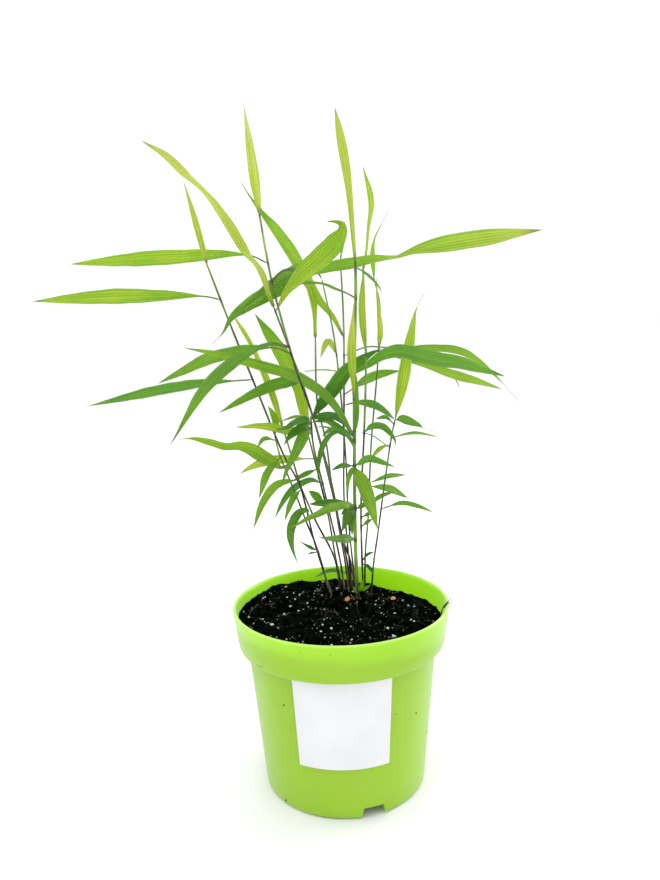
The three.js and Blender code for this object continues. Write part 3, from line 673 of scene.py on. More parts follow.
def store(mesh, name, values, kind="FLOAT"):
    """Writes one value or vector for each point of a mesh."""
    attribute = mesh.attributes.new(name, kind, "POINT")
    if kind == "FLOAT":
        attribute.data.foreach_set("value", values)
    else:
        attribute.data.foreach_set("vector", [number for vector in values for number in vector])


def soft_edges(mesh, angle):
    for polygon in mesh.polygons:
        polygon.use_smooth = True
    mesh.set_sharp_from_angle(angle=math.radians(angle))


def baked(piece):
    """Applies a piece's modifiers for good and leaves it with a plain mesh."""
    graph = bpy.context.evaluated_depsgraph_get()
    mesh = bpy.data.meshes.new_from_object(piece.evaluated_get(graph), preserve_all_data_layers=True, depsgraph=graph)
    piece.modifiers.clear()
    piece.data = mesh
    mesh.name = piece.name
    if len(mesh.materials) > 1 and mesh.materials[0] is None:
        mesh.materials.pop(index=0)
    return piece


def grown(piece, tree, values):
    """Runs a node tree on a piece, with its named inputs set, and keeps the result as a plain mesh."""
    modifier = piece.modifiers.new(tree.name, "NODES")
    modifier.node_group = tree
    for item in tree.interface.items_tree:
        if item.item_type == "SOCKET" and item.in_out == "INPUT" and item.name in values:
            modifier[item.identifier] = values[item.name]
    return baked(piece)


def finished(piece, slot, *nodes):
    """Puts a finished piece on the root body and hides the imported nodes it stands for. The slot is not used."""
    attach(piece, "root")
    if nodes:
        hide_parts(*nodes)
    return piece


# Materials


def new_material(name):
    """An empty material, and the place of a point on its piece."""
    material = bpy.data.materials.new(name)
    material.use_nodes = True
    material.node_tree.nodes.clear()
    return material, add(material.node_tree, "ShaderNodeTexCoord", output="Object")


def own(place, name):
    """A piece's own attribute, as a plain number."""
    return add(place.tree, "ShaderNodeAttribute", output="Fac", attribute_name=name, attribute_type="GEOMETRY")


def bumped(height, distance, strength=1.0, before=None):
    inputs = {"Height": height, "Distance": distance, "Strength": strength}
    if before is not None:
        inputs["Normal"] = before
    return add(height.tree, "ShaderNodeBump", inputs, "Normal")


def coated(material, colour, rough, normal, more=None):
    """An opaque surface for a material."""
    inputs = {"Base Color": colour, "Roughness": rough, "Normal": normal, **(more or {})}
    return add(material.node_tree, "ShaderNodeBsdfPrincipled", inputs)


def lit_through(coat, colour, normal, share):
    """A surface that lets a share of the light through."""
    glow = add(coat.tree, "ShaderNodeBsdfTranslucent", {"Color": colour, "Normal": normal})
    return add(coat.tree, "ShaderNodeMixShader", {"Fac": share, 1: coat, 2: glow})


def surfaced(material, shader):
    tree = material.node_tree
    tree.links.new(shader.socket, tree.nodes.new("ShaderNodeOutputMaterial").inputs["Surface"])
    return material


def lime_plastic():
    material, place = new_material("Lime green moulded plastic")
    cloud = noise_at(place, 14.0, 3.0)
    rings = noise_at(stretched(place, (1, 1, 30)), 7.0)
    colour = mixed(ranged(cloud, 0.35, 0.65), (0.42, 0.68, 0.018), (0.455, 0.72, 0.027))
    colour = mixed(ranged(rings, 0.4, 0.7, 0.0, 0.12), colour, (0.54, 0.79, 0.08))
    speck = add(place.tree, "ShaderNodeTexVoronoi", {"Vector": place, "Scale": 95.0, "Randomness": 1.0}, "Distance")
    chosen = add(place.tree, "ShaderNodeSeparateColor", {"Color": speck.beside("Color")})
    dirt = maths("LESS_THAN", speck, 0.055) * maths("GREATER_THAN", chosen, 0.965)
    colour = mixed(dirt * 0.75, colour, (0.06, 0.09, 0.02))
    scuffs = noise_at(stretched(place, (1, 1, 14)), 60.0, 4.0)
    worn = ranged(scuffs, 0.62, 0.75) * ranged(noise_at(place, 22.0), 0.52, 0.66)
    colour = mixed(worn * 0.3, colour, (0.55, 0.74, 0.20))
    # Painted highlight: the top of the lip is mixed toward a pale yellow green, which stands in for light catching the
    # rim
    lip = ranged(height_of(place), (POT_HEIGHT - 1.6) * MM, (POT_HEIGHT - 0.4) * MM) * 0.55
    colour = mixed(lip, colour, (0.66, 0.84, 0.30))
    rough = ranged(cloud, 0.3, 0.7, 0.27, 0.36) + worn * 0.2
    normal = bumped(rings, 0.0003, before=bumped(noise_at(place, 900.0), 0.00004))
    coat = coated(material, colour, rough, normal, {
        "Specular IOR Level": 0.7,
        "Sheen Weight": 0.6, "Sheen Roughness": 0.35, "Sheen Tint": (1.0, 1.0, 0.95, 1.0),
    })
    return surfaced(material, lit_through(coat, (0.62, 1.0, 0.002, 1.0), normal, 0.40))


def bare_sticker():
    material, place = new_material("Bare white sticker")
    shade = noise_at(place, 35.0, 4.0)
    colour = mixed(ranged(shade, 0.35, 0.7), (0.74, 0.75, 0.76), (0.69, 0.70, 0.71))
    smear = noise_at(stretched(place, (1, 1, 0.6)), 70.0, 5.0)
    colour = mixed(ranged(smear, 0.66, 0.82, 0.0, 0.25), colour, (0.55, 0.55, 0.56))
    crease = noise_at(stretched(place, (1.4, 1, 0.7)), 26.0, 1.5)
    fibre = noise_at(place, 1500.0)
    normal = bumped(fibre, 0.00002, before=bumped(crease, 0.0012, 0.5))
    return surfaced(material, coated(material, colour, ranged(shade, 0.3, 0.7, 0.36, 0.48), normal))


def black_peat():
    material, place = new_material("Moist black peat")
    lumps = noise_at(place, 160.0, 5.0, Roughness=0.65)
    colour = mixed(ranged(lumps, 0.40, 0.72), (0.0002, 0.0005, 0.0003), (0.0058, 0.0100, 0.0058))
    wide = ranged(noise_at(place, 30.0, 3.0), 0.5, 0.75, 0.0, 0.6)
    colour = mixed(wide, colour, (0.002, 0.0040, 0.003))
    normal = bumped(noise_at(place, 900.0, 3.0), 0.0003, 0.8, bumped(lumps, 0.0015, 0.9))
    rough = ranged(lumps, 0.3, 0.7, 0.8, 1.0)
    return surfaced(material, coated(material, colour, rough, normal, {"Specular IOR Level": 0.0}))


def perlite():
    material, place = new_material("White perlite")
    pits = noise_at(place, 1100.0, 3.0)
    colour = mixed(own(place, "shade"), (0.16, 0.15, 0.12), (0.62, 0.62, 0.58))
    colour = mixed(ranged(pits, 0.55, 0.75, 0.0, 0.5), colour, (0.16, 0.14, 0.11))
    return surfaced(material, coated(material, colour, 0.85, bumped(pits, 0.0005, 0.8)))


def dry_straw(name, light, dark):
    material, place = new_material(name)
    streaks = noise_at(place, 260.0, 4.0)
    colour = mixed(ranged(streaks, 0.35, 0.7), light, dark)
    return surfaced(material, coated(material, colour, 0.75, bumped(streaks, 0.0004, 0.6)))


def living_leaf():
    """Ribbed leaf that lets light through: yellow green where it is young, deep green low down, and
    purplish grey along its stalk and its point."""
    material, place = new_material("Living leaf")
    tone, across, ripe = own(place, "tone"), own(place, "across"), own(place, "ripe")
    count = across * own(place, "ribs")
    lines = add(place.tree, "ShaderNodeCombineXYZ", {
        "X": count * 1.5, "Y": own(place, "along") * 2.0, "Z": own(place, "seed"),
    })
    uneven = noise_at(lines, 1.0, 1.0)
    wave = maths("SINE", maths("MULTIPLY_ADD", count, FULL_TURN, uneven * 5.0))
    ribs = maths("MULTIPLY_ADD", wave, 0.5, 0.5) * 0.55 + ranged(uneven, 0.3, 0.7, 0.0, 0.45)
    cloud = noise_at(place, 45.0, 3.0)
    middle = maths("ABSOLUTE", across)
    midrib, margin = ranged(middle, 0.03, 0.12, 1.0, 0.0), ranged(middle, 0.80, 1.0)
    contrast = ranged(tone, 0.40, 0.85, 0.20, 0.85) * ranged(tone, 0.90, 1.10, 1.0, 0.45)
    stripes = ranged(ribs, 0.15, 0.85, -0.36, 0.30) * contrast
    light = tone + stripes + ranged(cloud, 0.3, 0.7, -0.1, 0.1) + midrib * 0.12
    grown_up, ripened, pale = ranged(light, 0.0, 0.55), ranged(light, 0.55, 1.15), ranged(light, 1.0, 1.6)

    face = mixed(grown_up, (0.018, 0.091, 0.008), (0.172, 0.300, 0.018))
    face = mixed(ripened, face, (0.39, 0.485, 0.045))
    face = mixed(pale, face, (0.44, 0.50, 0.36))
    face = mixed(margin * 0.5, face, mixed(tone, (0.09, 0.19, 0.055), (0.36, 0.46, 0.14)))
    upper = own(place, "top_side")
    face = mixed((1.0 - upper) * 0.35, face, (0.26, 0.36, 0.12))
    # Painted sky sheen: the top faces of deep green leaves that tip up are mixed toward a paler blue green, which
    # stands in for the white room's reflection
    face = mixed(own(place, "painted_sky_sheen") * upper * 0.4, face, (0.09, 0.26, 0.09))
    face = mixed(ripe, face, mixed(tone, (0.070, 0.090, 0.055), (0.19, 0.20, 0.10)))

    through = mixed(grown_up, (0.16, 0.51, 0.045), (0.51, 0.80, 0.080))
    through = mixed(ripened, through, (0.86, 0.87, 0.20))
    through = mixed(pale, through, (0.79, 0.81, 0.62))
    through = mixed(margin * 0.35, through, (0.45, 0.62, 0.20))
    through = mixed(ripe, through, (0.42, 0.42, 0.30))

    normal = bumped(ribs, 0.0003, 0.6)
    coat = coated(material, face, ranged(cloud, 0.3, 0.7, 0.38, 0.50), normal, {"Specular IOR Level": 0.4})
    return surfaced(material, lit_through(coat, through, normal, 0.5))


def stem_skin():
    """Smooth stem: purple black low down and at its joints, green with pale sheaths higher up."""
    material, place = new_material("Stem skin")
    streaks = noise_at(stretched(place, (1, 1, 0.05)), 640.0)
    patches = noise_at(stretched(place, (1, 1, 0.35)), 60.0, 3.0)
    height = height_of(place)
    half_way = ranged(patches, 0.35, 0.65)
    dark = mixed(half_way, (0.005, 0.005, 0.005), (0.026, 0.024, 0.018))
    # Pale beige streaks, strongest near the foot: partly streaky skin, partly a painted highlight that stands in for
    # the lit side of the thin round stems
    pale_streak_and_painted_highlight = ranged(streaks, 0.50, 0.60) * ranged(height, 0.16, 0.26, 1.0, 0.35)
    dark = mixed(pale_streak_and_painted_highlight, dark, (0.20, 0.185, 0.095))
    dark = mixed(ranged(height, 0.118, 0.132, 0.65, 0.0), dark, (0.065, 0.020, 0.007))
    fresh = mixed(half_way, (0.10, 0.22, 0.030), (0.28, 0.44, 0.07))
    fresh = mixed(ranged(streaks, 0.52, 0.62, 0.0, 0.6), fresh, (0.05, 0.10, 0.02))
    amount = own(place, "green") + ranged(patches, 0.3, 0.7, -0.15, 0.15)
    colour = mixed(add(place.tree, "ShaderNodeClamp", {0: amount}), dark, fresh)
    colour = mixed(own(place, "joint") * 0.8, colour, (0.030, 0.018, 0.018))
    coat = coated(material, colour, 0.42, bumped(streaks, 0.0001, 0.5), {"Specular IOR Level": 0.2})
    return surfaced(material, coat)


# Camera, light and floor


def make_camera():
    data = bpy.data.cameras.new("Camera")
    data.sensor_fit = "VERTICAL"
    data.sensor_height = SENSOR_HEIGHT
    data.lens = SENSOR_HEIGHT * CAMERA_FOCUS
    data.clip_start = 0.01
    data.clip_end = 100
    camera = new_object("Camera", data)
    down, roll = math.radians(CAMERA_DOWN), math.radians(CAMERA_ROLL)
    ahead = Vector((0, math.cos(down), -math.sin(down)))
    level_up = Vector((0, math.sin(down), math.cos(down)))
    right = Vector((math.cos(roll), 0, 0)) + math.sin(roll) * level_up
    up = math.cos(roll) * level_up - Vector((math.sin(roll), 0, 0))
    turn = Matrix((right, up, -ahead)).transposed()
    camera.matrix_world = Matrix.Translation(Vector(CAMERA_PLACE) * MM) @ turn.to_4x4()
    bpy.context.scene.camera = camera


def make_studio():
    scene = bpy.context.scene
    scene.view_settings.view_transform = "Standard"
    scene.view_settings.look = "None"
    world = bpy.data.worlds.new("White room")
    world.use_nodes = True
    world.node_tree.nodes["Background"].inputs["Color"].default_value = (1, 1, 1, 1)
    world.node_tree.nodes["Background"].inputs["Strength"].default_value = ROOM_LIGHT
    scene.world = world
    for name, place, aim, size, power in SOFTBOXES:
        data = bpy.data.lights.new(name, "AREA")
        data.shape = "DISK"
        data.size = size
        data.energy = power
        lamp = new_object(name, data)
        lamp.location = place
        lamp.rotation_euler = (Vector(aim) - Vector(place)).to_track_quat("-Z", "Y").to_euler()


def make_floor():
    wide = FLOOR_REACH
    corners = [(-wide, -wide, 0), (wide, -wide, 0), (wide, wide, 0), (-wide, wide, 0)]
    floor = new_object("Floor", new_mesh("Floor", corners, [(0, 1, 2, 3)]))
    material, place = new_material("White studio floor")
    # Painted shadow: close to the pot the floor is darker and a little blue, which stands in for the pot's soft shadow
    # and offsets the green light it throws back; further out it turns white
    painted_shade_near_pot = mixed(noise_at(place, 9.0, 3.0), (0.805, 0.795, 0.835), (0.820, 0.810, 0.845))
    away = add(place.tree, "ShaderNodeVectorMath", {0: place}, "Value", operation="LENGTH")
    colour = mixed(ranged(away, 0.15, 0.7), painted_shade_near_pot, (0.94, 0.94, 0.94))
    matt = add(place.tree, "ShaderNodeBsdfPrincipled", {"Base Color": colour, "Roughness": 0.6})
    floor.data.materials.append(surfaced(material, matt))


# Stems and leaves


def leafy_stem_tree():
    """Skins the lines of one stem: round stem lines, and leaf lines as folded, waved blades that are
    closed along both margins."""
    tree, given = new_tree("Leafy stem", {
        "Stem sides": ("Int", 12), "Columns across a blade": ("Int", 11), "Margin wave": ("Float", 0.0006),
        "Wave scale": ("Float", 55.0), "Seed": ("Float", 0.0), "Stem skin": ("Material", None),
        "Living leaf": ("Material", None),
    })
    is_stem = maths("GREATER_THAN", named_value(tree, "is_stem"), 0.5)
    stem_lines = changed(given["Geometry"], "SeparateGeometry", {"Selection": is_stem}, domain="POINT")
    tube = tubes_along(stem_lines, given["Stem sides"])

    midribs = add(tree, "GeometryNodeMeshToCurve", {"Mesh": stem_lines.beside("Inverted")})
    count = given["Columns across a blade"]
    share = maths("MULTIPLY_ADD", maths("DIVIDE", add(tree, "GeometryNodeInputIndex"), count - 1.0), 2.0, -1.0)
    columns = add(tree, "GeometryNodeMeshLine", {"Count": count, "Offset": (0.001, 0, 0)})
    columns = add(tree, "GeometryNodeMeshToCurve", {"Mesh": stored(columns, "across", share)})
    sheet = add(tree, "GeometryNodeCurveToMesh", {"Curve": midribs, "Profile Curve": columns})

    across, half = named_value(tree, "across"), named_value(tree, "half")
    centre, side, facing = (named_value(tree, name, "FLOAT_VECTOR") for name in VECTOR_KEYS)
    reach = maths("ABSOLUTE", across)
    fold = half * named_value(tree, "fold") * maths("MULTIPLY_ADD", reach, 2.0, -1.0)
    # A small step to either side, so that a blade's two margins wave on their own
    own_side = scaled(side, maths("SIGN", across) * 0.02)
    drift = add(tree, "ShaderNodeTexNoise", {
        "Vector": summed(centre, own_side), "Scale": given["Wave scale"], "W": given["Seed"], "Detail": 1.0,
    }, "Fac", noise_dimensions="4D")
    sway = (drift - 0.5) * 2.0 * (given["Margin wave"] * maths("POWER", reach, 1.6)) * ranged(half, 0.0008, 0.004)
    middle = summed(summed(centre, scaled(side, across * half)), scaled(facing, fold + sway))
    body = named_value(tree, "body") * maths("SQRT", maths("MAXIMUM", 1.0 - reach * reach, 0.0))
    keel = named_value(tree, "keel") * ranged(reach, 0.0, 0.25, 1.0, 0.0)

    upper = changed(sheet, "SetPosition", {"Position": summed(middle, scaled(facing, body))})
    lower = changed(sheet, "SetPosition", {"Position": summed(middle, scaled(facing, (body + keel) * -1.0))})
    lower = add(tree, "GeometryNodeFlipFaces", {"Mesh": lower})
    blades = changed(joined(stored(upper, "top_side", 1.0, "FACE"), lower), "MergeByDistance", {"Distance": 0.000002})

    whole = changed(joined(blades, tube), "SetShadeSmooth", {"Shade Smooth": True})
    at_margin = maths("GREATER_THAN", maths("ABSOLUTE", named_value(tree, "across")), 0.999)
    whole = changed(whole, "SetShadeSmooth", {"Selection": at_margin, "Shade Smooth": False}, domain="EDGE")
    whole = changed(whole, "RealizeInstances")
    whole = changed(whole, "SetMaterial", {"Material": given["Living leaf"]})
    on_stem = maths("GREATER_THAN", named_value(tree, "is_stem"), 0.5)
    return whole_tree(changed(whole, "SetMaterial", {"Selection": on_stem, "Material": given["Stem skin"]}))


def stem_points(plant, rng):
    """Points of a stem's line, with its radius, how green it is, and where its joints are."""
    path = even_path(plant["path"], STEM_STEP)[0]
    foot, top = plant["path"][0][2], plant["path"][-1][2]
    joints = sorted({entry["root"] for entry in plant["leaves"]})
    height = foot + FIRST_JOINT
    while height < min(joints[-1], top) - LAST_JOINT:
        if all(abs(height - j) > JOINT_ROOM for j in joints):
            joints.append(height)
        height += rng.uniform(*JOINT_GAPS)
    joints.sort()
    points = []
    for step, place in enumerate(path):
        share = step / (len(path) - 1)
        z = place.z / MM
        below = max((j for j in joints if j <= z), default=foot)
        above = min((j for j in joints if j > z), default=top + LAST_JOINT)
        up = clamp((z - below) / max(above - below, 1))
        swell = max((math.exp(-(((z - j) / JOINT_HALF_LENGTH) ** 2)) for j in joints), default=0)
        sheath = smooth(0, 0.06, up) * (1 - smooth(0.55, 0.72, up))
        radius = lerp(*plant["thick"], share) / 2 * lerp(*STEM_TAPER, share)
        radius *= 0.94 + 0.08 * sheath + 0.20 * swell
        radius *= lerp(STEM_POINT, 1, clamp((top - z) / STEM_POINT_LENGTH))
        green = smooth(*plant["green"], z) * 0.9 + 0.30 * sheath * smooth(130, 260, z)
        points.append(dict(place=place, radius=radius * MM, green=clamp(green), joint=swell))
    return points


def blade_points(plant, entry, stem_path, rng):
    """Points of a leaf's midrib, with the blade's width, facing, fold and colour at each."""
    root = min(stem_path, key=lambda p: abs(p.z / MM - entry["root"]))
    path, length = even_path([root / MM, *entry["rib"]], BLADE_STEP)
    side_sign = 1 if entry["rib"][-1][0] * MM > root.x else -1
    stalk = entry["stalk"] * MM / length
    foot_power = entry["peak"] / (1 - entry["peak"]) * POINT_POWER
    seed = rng.uniform(0, 40)
    points = []
    for step, (place, forward) in enumerate(zip(path, headings(path))):
        share = step / (len(path) - 1)
        front = Vector((0, -1, 0))
        front = (front - forward * front.dot(forward)).normalized()
        up = front.cross(forward) * side_sign
        turn = math.radians(between(entry["turn"], share))
        facing = front * math.cos(turn) + up * math.sin(turn)
        blade = clamp((share - stalk) / (1 - entry["thread"] - stalk))
        if entry["outline"]:
            outline = max(0, between((*entry["outline"], 0), blade))
        else:
            outline = (blade / entry["peak"]) ** foot_power * ((1 - blade) / (1 - entry["peak"])) ** POINT_POWER
        ripple = 1 + 0.03 * math.sin(blade * 17 + seed) + 0.02 * math.sin(blade * 41 + 2 * seed)
        half = entry["width"] / 2 * outline * ripple
        on_blade = smooth(*BLADE_STARTS, half)
        half = max(half, STALK_HALF_WIDTH if share < stalk + 0.1 else THREAD_HALF_WIDTH)
        if step == 0 or step == len(path) - 1:
            half = 0.0
        body = lerp(min(STALK_HALF_THICKNESS, half * 0.8), BLADE_HALF_THICKNESS, on_blade)
        ripe_end = smooth(0.93 - entry["thread"], 1.0 - 0.4 * entry["thread"], share)
        ripe_foot = 1 - smooth(stalk * 0.9, stalk * 1.1 + 0.05, share)
        tone = lerp(*entry["tones"], share)
        points.append(dict(
            place=place, centre=place, side=forward.cross(facing), facing=facing, half=half * MM,
            body=0.0 if half == 0 else body * MM, keel=KEEL_DEPTH * MM * on_blade * (1 - 0.8 * blade),
            fold=BLADE_FOLD * on_blade, along=share, tone=tone, seed=seed,
            # Painted sky sheen: strongest where the leaf's face tips up toward the sky and the leaf is deep green
            painted_sky_sheen=smooth(25, 60, between(entry["turn"], share)) * (1 - smooth(0.3, 0.7, tone)),
            ribs=entry["width"] / 2 / RIB_SPACING, ripe=max(ripe_end * 0.7, ripe_foot * 0.7),
        ))
    return points


def make_leafy_stem(number, name, plant, tree, skin, leaf_finish):
    rng = random.Random(700 + number)
    rows = [stem_points(plant, rng)]
    stem_path = [point["place"] for point in rows[0]]
    rows += [blade_points(plant, entry, stem_path, rng) for entry in plant["leaves"]]
    flat, edges = [], []
    for index, row in enumerate(rows):
        edges += [(len(flat) + i, len(flat) + i + 1) for i in range(len(row) - 1)]
        flat += [dict(point, is_stem=float(index == 0)) for point in row]
    mesh = new_mesh(name, [point["place"] for point in flat], edges=edges)
    for key in NUMBER_KEYS:
        store(mesh, key, [point.get(key, 0.0) for point in flat])
    for key in VECTOR_KEYS:
        store(mesh, key, [point.get(key, Vector()) for point in flat], "FLOAT_VECTOR")
    piece = grown(new_object(name + "_grown", mesh), tree, {
        "Stem sides": 12, "Columns across a blade": 11, "Margin wave": 0.0007, "Wave scale": 55.0,
        "Seed": number * 3.7, "Stem skin": skin, "Living leaf": leaf_finish,
    })
    return finished(piece, "foliage", name)


# Pot and label


def body_radius(height):
    return lerp(FOOT_RADIUS, BODY_TOP_RADIUS, height / BAND_FOOT_HEIGHT)


def band_radius(height):
    return lerp(BAND_FOOT_RADIUS, LIP_RADIUS, (height - BAND_FOOT_HEIGHT) / (POT_HEIGHT - BAND_FOOT_HEIGHT))


def arc(centre_radius, centre_height, radius, start, end, steps):
    angles = [math.radians(lerp(start, end, step / steps)) for step in range(steps + 1)]
    return [(centre_radius + radius * math.cos(a), centre_height + radius * math.sin(a)) for a in angles]


def pot_profile():
    """Outline of the pot's wall from the middle of its underside, round the lip, to the middle of its floor."""
    foot = arc(body_radius(FOOT_ROUND) - FOOT_ROUND, FOOT_ROUND, FOOT_ROUND, -90, -4, 8)
    wall = [(body_radius(h), h) for h in (20, 40, 60, 80, 96)]
    step = [
        (body_radius(99.8), 99.8), (BODY_TOP_RADIUS + 0.15, 100.9), (BODY_TOP_RADIUS + 0.7, 101.6),
        (BODY_TOP_RADIUS + 1.6, 101.95), (BAND_FOOT_RADIUS - 2.0, 102), (BAND_FOOT_RADIUS - 0.9, 102.25),
        (BAND_FOOT_RADIUS - 0.25, 102.8), (band_radius(104), 104),
    ]
    band = [(band_radius(h), h) for h in (110, 118, 124)]
    lip = arc(LIP_RADIUS - LIP_ROUND, POT_HEIGHT - LIP_ROUND, LIP_ROUND, -10, 150, 9)
    inside = [(band_radius(h) - POT_WALL - 0.5 * smooth(116, 126, h), h) for h in (126, 120, 112, 103.5)]
    inside += [(BODY_TOP_RADIUS - POT_WALL + 1.2, 101.2), (BODY_TOP_RADIUS - POT_WALL, 99.5)]
    inside += [(body_radius(h) - POT_WALL, h) for h in (60, 20, POT_FLOOR)]
    return [(0, 0), (30, 0), *foot, *wall, *step, *band, *lip, *inside, (30, POT_FLOOR), (0, POT_FLOOR)]


def lathe(name, profile, segments, rough=None):
    """Closed body turned from a profile that starts and ends on the axis."""
    build = bmesh.new()
    rings = []
    for radius, height in profile:
        if radius == 0:
            rings.append([build.verts.new((0, 0, height * MM))])
            continue
        ring = []
        for segment in range(segments):
            angle = 2 * math.pi * segment / segments
            place = Vector((radius * math.cos(angle), radius * math.sin(angle), height))
            ring.append(build.verts.new((rough(place) if rough else place) * MM))
        rings.append(ring)
    for low, high in zip(rings, rings[1:]):
        for s in range(segments):
            t = (s + 1) % segments
            if len(low) == 1:
                build.faces.new((low[0], high[t], high[s]))
            elif len(high) == 1:
                build.faces.new((low[s], low[t], high[0]))
            else:
                build.faces.new((low[s], low[t], high[t], high[s]))
    return built_mesh(name, build)


def shaped(piece, operation, angle, half_width, low, high, start, end):
    """Joins to a piece, or cuts from it, a block with sloping sides that runs outward at an angle."""
    across = [(-half_width, low), (half_width, low), (half_width - NOTCH_SIDE_SLOPE, high),
              (-half_width + NOTCH_SIDE_SLOPE, high)]
    turn = Matrix.Rotation(math.radians(angle), 3, "Z")
    corners = [turn @ Vector((radius, y, z)) * MM for radius in (start, end) for y, z in across]
    faces = [(3, 2, 1, 0), (4, 5, 6, 7), (0, 1, 5, 4), (1, 2, 6, 5), (2, 3, 7, 6), (3, 0, 4, 7)]
    block = new_object("Block", new_mesh("Block", corners, faces))
    modifier = piece.modifiers.new("Notch", "BOOLEAN")
    modifier.object = block
    modifier.operation = operation
    modifier.solver = "EXACT"
    baked(piece)
    bpy.data.objects.remove(block)


def make_pot(material):
    piece = new_object("nursery_pot", lathe("nursery_pot", pot_profile(), POT_SEGMENTS))
    pocket_top = NOTCH_HEIGHT + POCKET_WALL
    deep, wide, radius = DRAIN_HOLE["deep"] / 2, DRAIN_HOLE["wide"] / 2, DRAIN_HOLE["radius"]
    for angle in NOTCH_ANGLES:
        shaped(piece, "UNION", angle, NOTCH_HALF_WIDTH + POCKET_WALL, 0.5, pocket_top,
               NOTCH_INNER_RADIUS - POCKET_WALL, FOOT_RADIUS - POT_WALL / 2)
        shaped(piece, "DIFFERENCE", angle, NOTCH_HALF_WIDTH, -1, NOTCH_HEIGHT, NOTCH_INNER_RADIUS, LIP_RADIUS)
        shaped(piece, "DIFFERENCE", angle, wide + NOTCH_SIDE_SLOPE / 2, NOTCH_HEIGHT - 1, pocket_top + 1,
               radius - deep, radius + deep)
    piece.data.materials.clear()
    piece.data.materials.append(material)
    soft_edges(piece.data, 38)
    return finished(piece, "pot_plastic", "pot")


def make_label(material):
    """Square sticker bent round the tapered wall, a little lifted along its lower edge."""
    middle = LABEL_TOP - LABEL_HEIGHT / 2
    vertices, faces = [], []
    for row in range(LABEL_STEPS + 1):
        for column in range(LABEL_STEPS + 1):
            along = lerp(-LABEL_WIDTH / 2, LABEL_WIDTH / 2, column / LABEL_STEPS)
            up = lerp(-LABEL_HEIGHT / 2, LABEL_HEIGHT / 2, row / LABEL_STEPS)
            angle = along / body_radius(middle) + math.radians(LABEL_ANGLE)
            ripple = noise.noise(Vector((along / 14, up / 20, 3.1)))
            low_edge = smooth(0.92, 1, 1 - row / LABEL_STEPS)
            radius = body_radius(middle + up) + LABEL_GAP + LABEL_RIPPLE * (ripple + 0.6) + LABEL_LIFT * low_edge
            vertices.append(Vector((radius * math.cos(angle), radius * math.sin(angle), middle + up)) * MM)
    wide = LABEL_STEPS + 1
    for row in range(LABEL_STEPS):
        for column in range(LABEL_STEPS):
            a = row * wide + column
            faces.append((a, a + 1, a + 1 + wide, a + wide))
    piece = new_object("bare_sticker", new_mesh("bare_sticker", vertices, faces))
    skin = piece.modifiers.new("Thickness", "SOLIDIFY")
    skin.thickness = LABEL_THICKNESS * MM
    skin.offset = 1
    baked(piece)
    piece.data.materials.append(material)
    soft_edges(piece.data, 50)
    return finished(piece, "label_paper", "label")


# Lumps, which lie on the soil or stick to the pot


def add_lump(build, finer, centre, size, squash, turn, roughness, where):
    """A rough ball: where says at which place of the noise its surface starts."""
    for vertex in bmesh.ops.create_icosphere(build, subdivisions=finer, radius=1)["verts"]:
        rough = 1 + roughness * noise.noise(vertex.co * 1.5 + where)
        vertex.co = (centre + turn @ (vertex.co * squash) * size * rough) * MM


def lump_piece(name, build, material, shade=None):
    mesh = built_mesh(name, build)
    if shade is not None:
        store(mesh, "shade", [shade] * len(mesh.vertices))
    mesh.materials.append(material)
    soft_edges(mesh, 60)
    return finished(new_object(name, mesh), "potting_soil")


def make_specks(material):
    """Small crumbs of peat that stick to the outside of the pot's wall."""
    rng = random.Random(6)
    build = bmesh.new()
    for angle, height, size in POT_SPECKS:
        radius = band_radius(height) if height > BAND_FOOT_HEIGHT else body_radius(height)
        outward = Vector((math.cos(math.radians(angle)), math.sin(math.radians(angle)), 0))
        centre = outward * radius + Vector((0, 0, height))
        squash = Vector((rng.uniform(0.7, 1.2), rng.uniform(0.7, 1.2), rng.uniform(0.6, 1.1)))
        add_lump(build, 2, centre, size, squash, Matrix.Identity(3), 0.5, centre)
    return lump_piece("peat_specks", build, material)


def make_lumps(name, places, sunk, material, seed):
    """Single rough lumps on the soil, each with its place and half its width."""
    rng = random.Random(seed)
    build = bmesh.new()
    for x, y, size in places:
        centre = Vector((x, y, soil_height(x, y) + size * (0.8 - sunk)))
        squash = Vector((rng.uniform(0.9, 1.3), rng.uniform(0.7, 1.1), rng.uniform(0.55, 0.8)))
        turn = Matrix.Rotation(rng.uniform(0, math.pi), 3, "Z") @ Matrix.Rotation(rng.uniform(-0.5, 0.5), 3, "X")
        add_lump(build, 3, centre, size, squash, turn, 0.6, Vector((x, y, seed)))
    return lump_piece(name, build, material, 0.95)


# Soil


def soil_height(x, y):
    """Height of the soil: a mound round the clump, high at the left and low at the right, with clods
    and crumbs."""
    mound = -SOIL_TILT * x / LIP_RADIUS
    for heap_x, heap_y, spread, height in SOIL_HEAPS:
        mound += height * math.exp(-((x - heap_x) ** 2 + (y - heap_y) ** 2) / (2 * spread ** 2))
    place = Vector((x, y, 0))
    clods = CLOD_HEIGHT * noise.fractal(place / CLOD_WIDTH, 1.0, 2.0, 4)
    crumbs = abs(noise.noise(place / CRUMB_WIDTH + Vector((7, 3, 1)))) * CRUMB_HEIGHT
    return SOIL_EDGE_HEIGHT + mound + clods + crumbs - 0.5


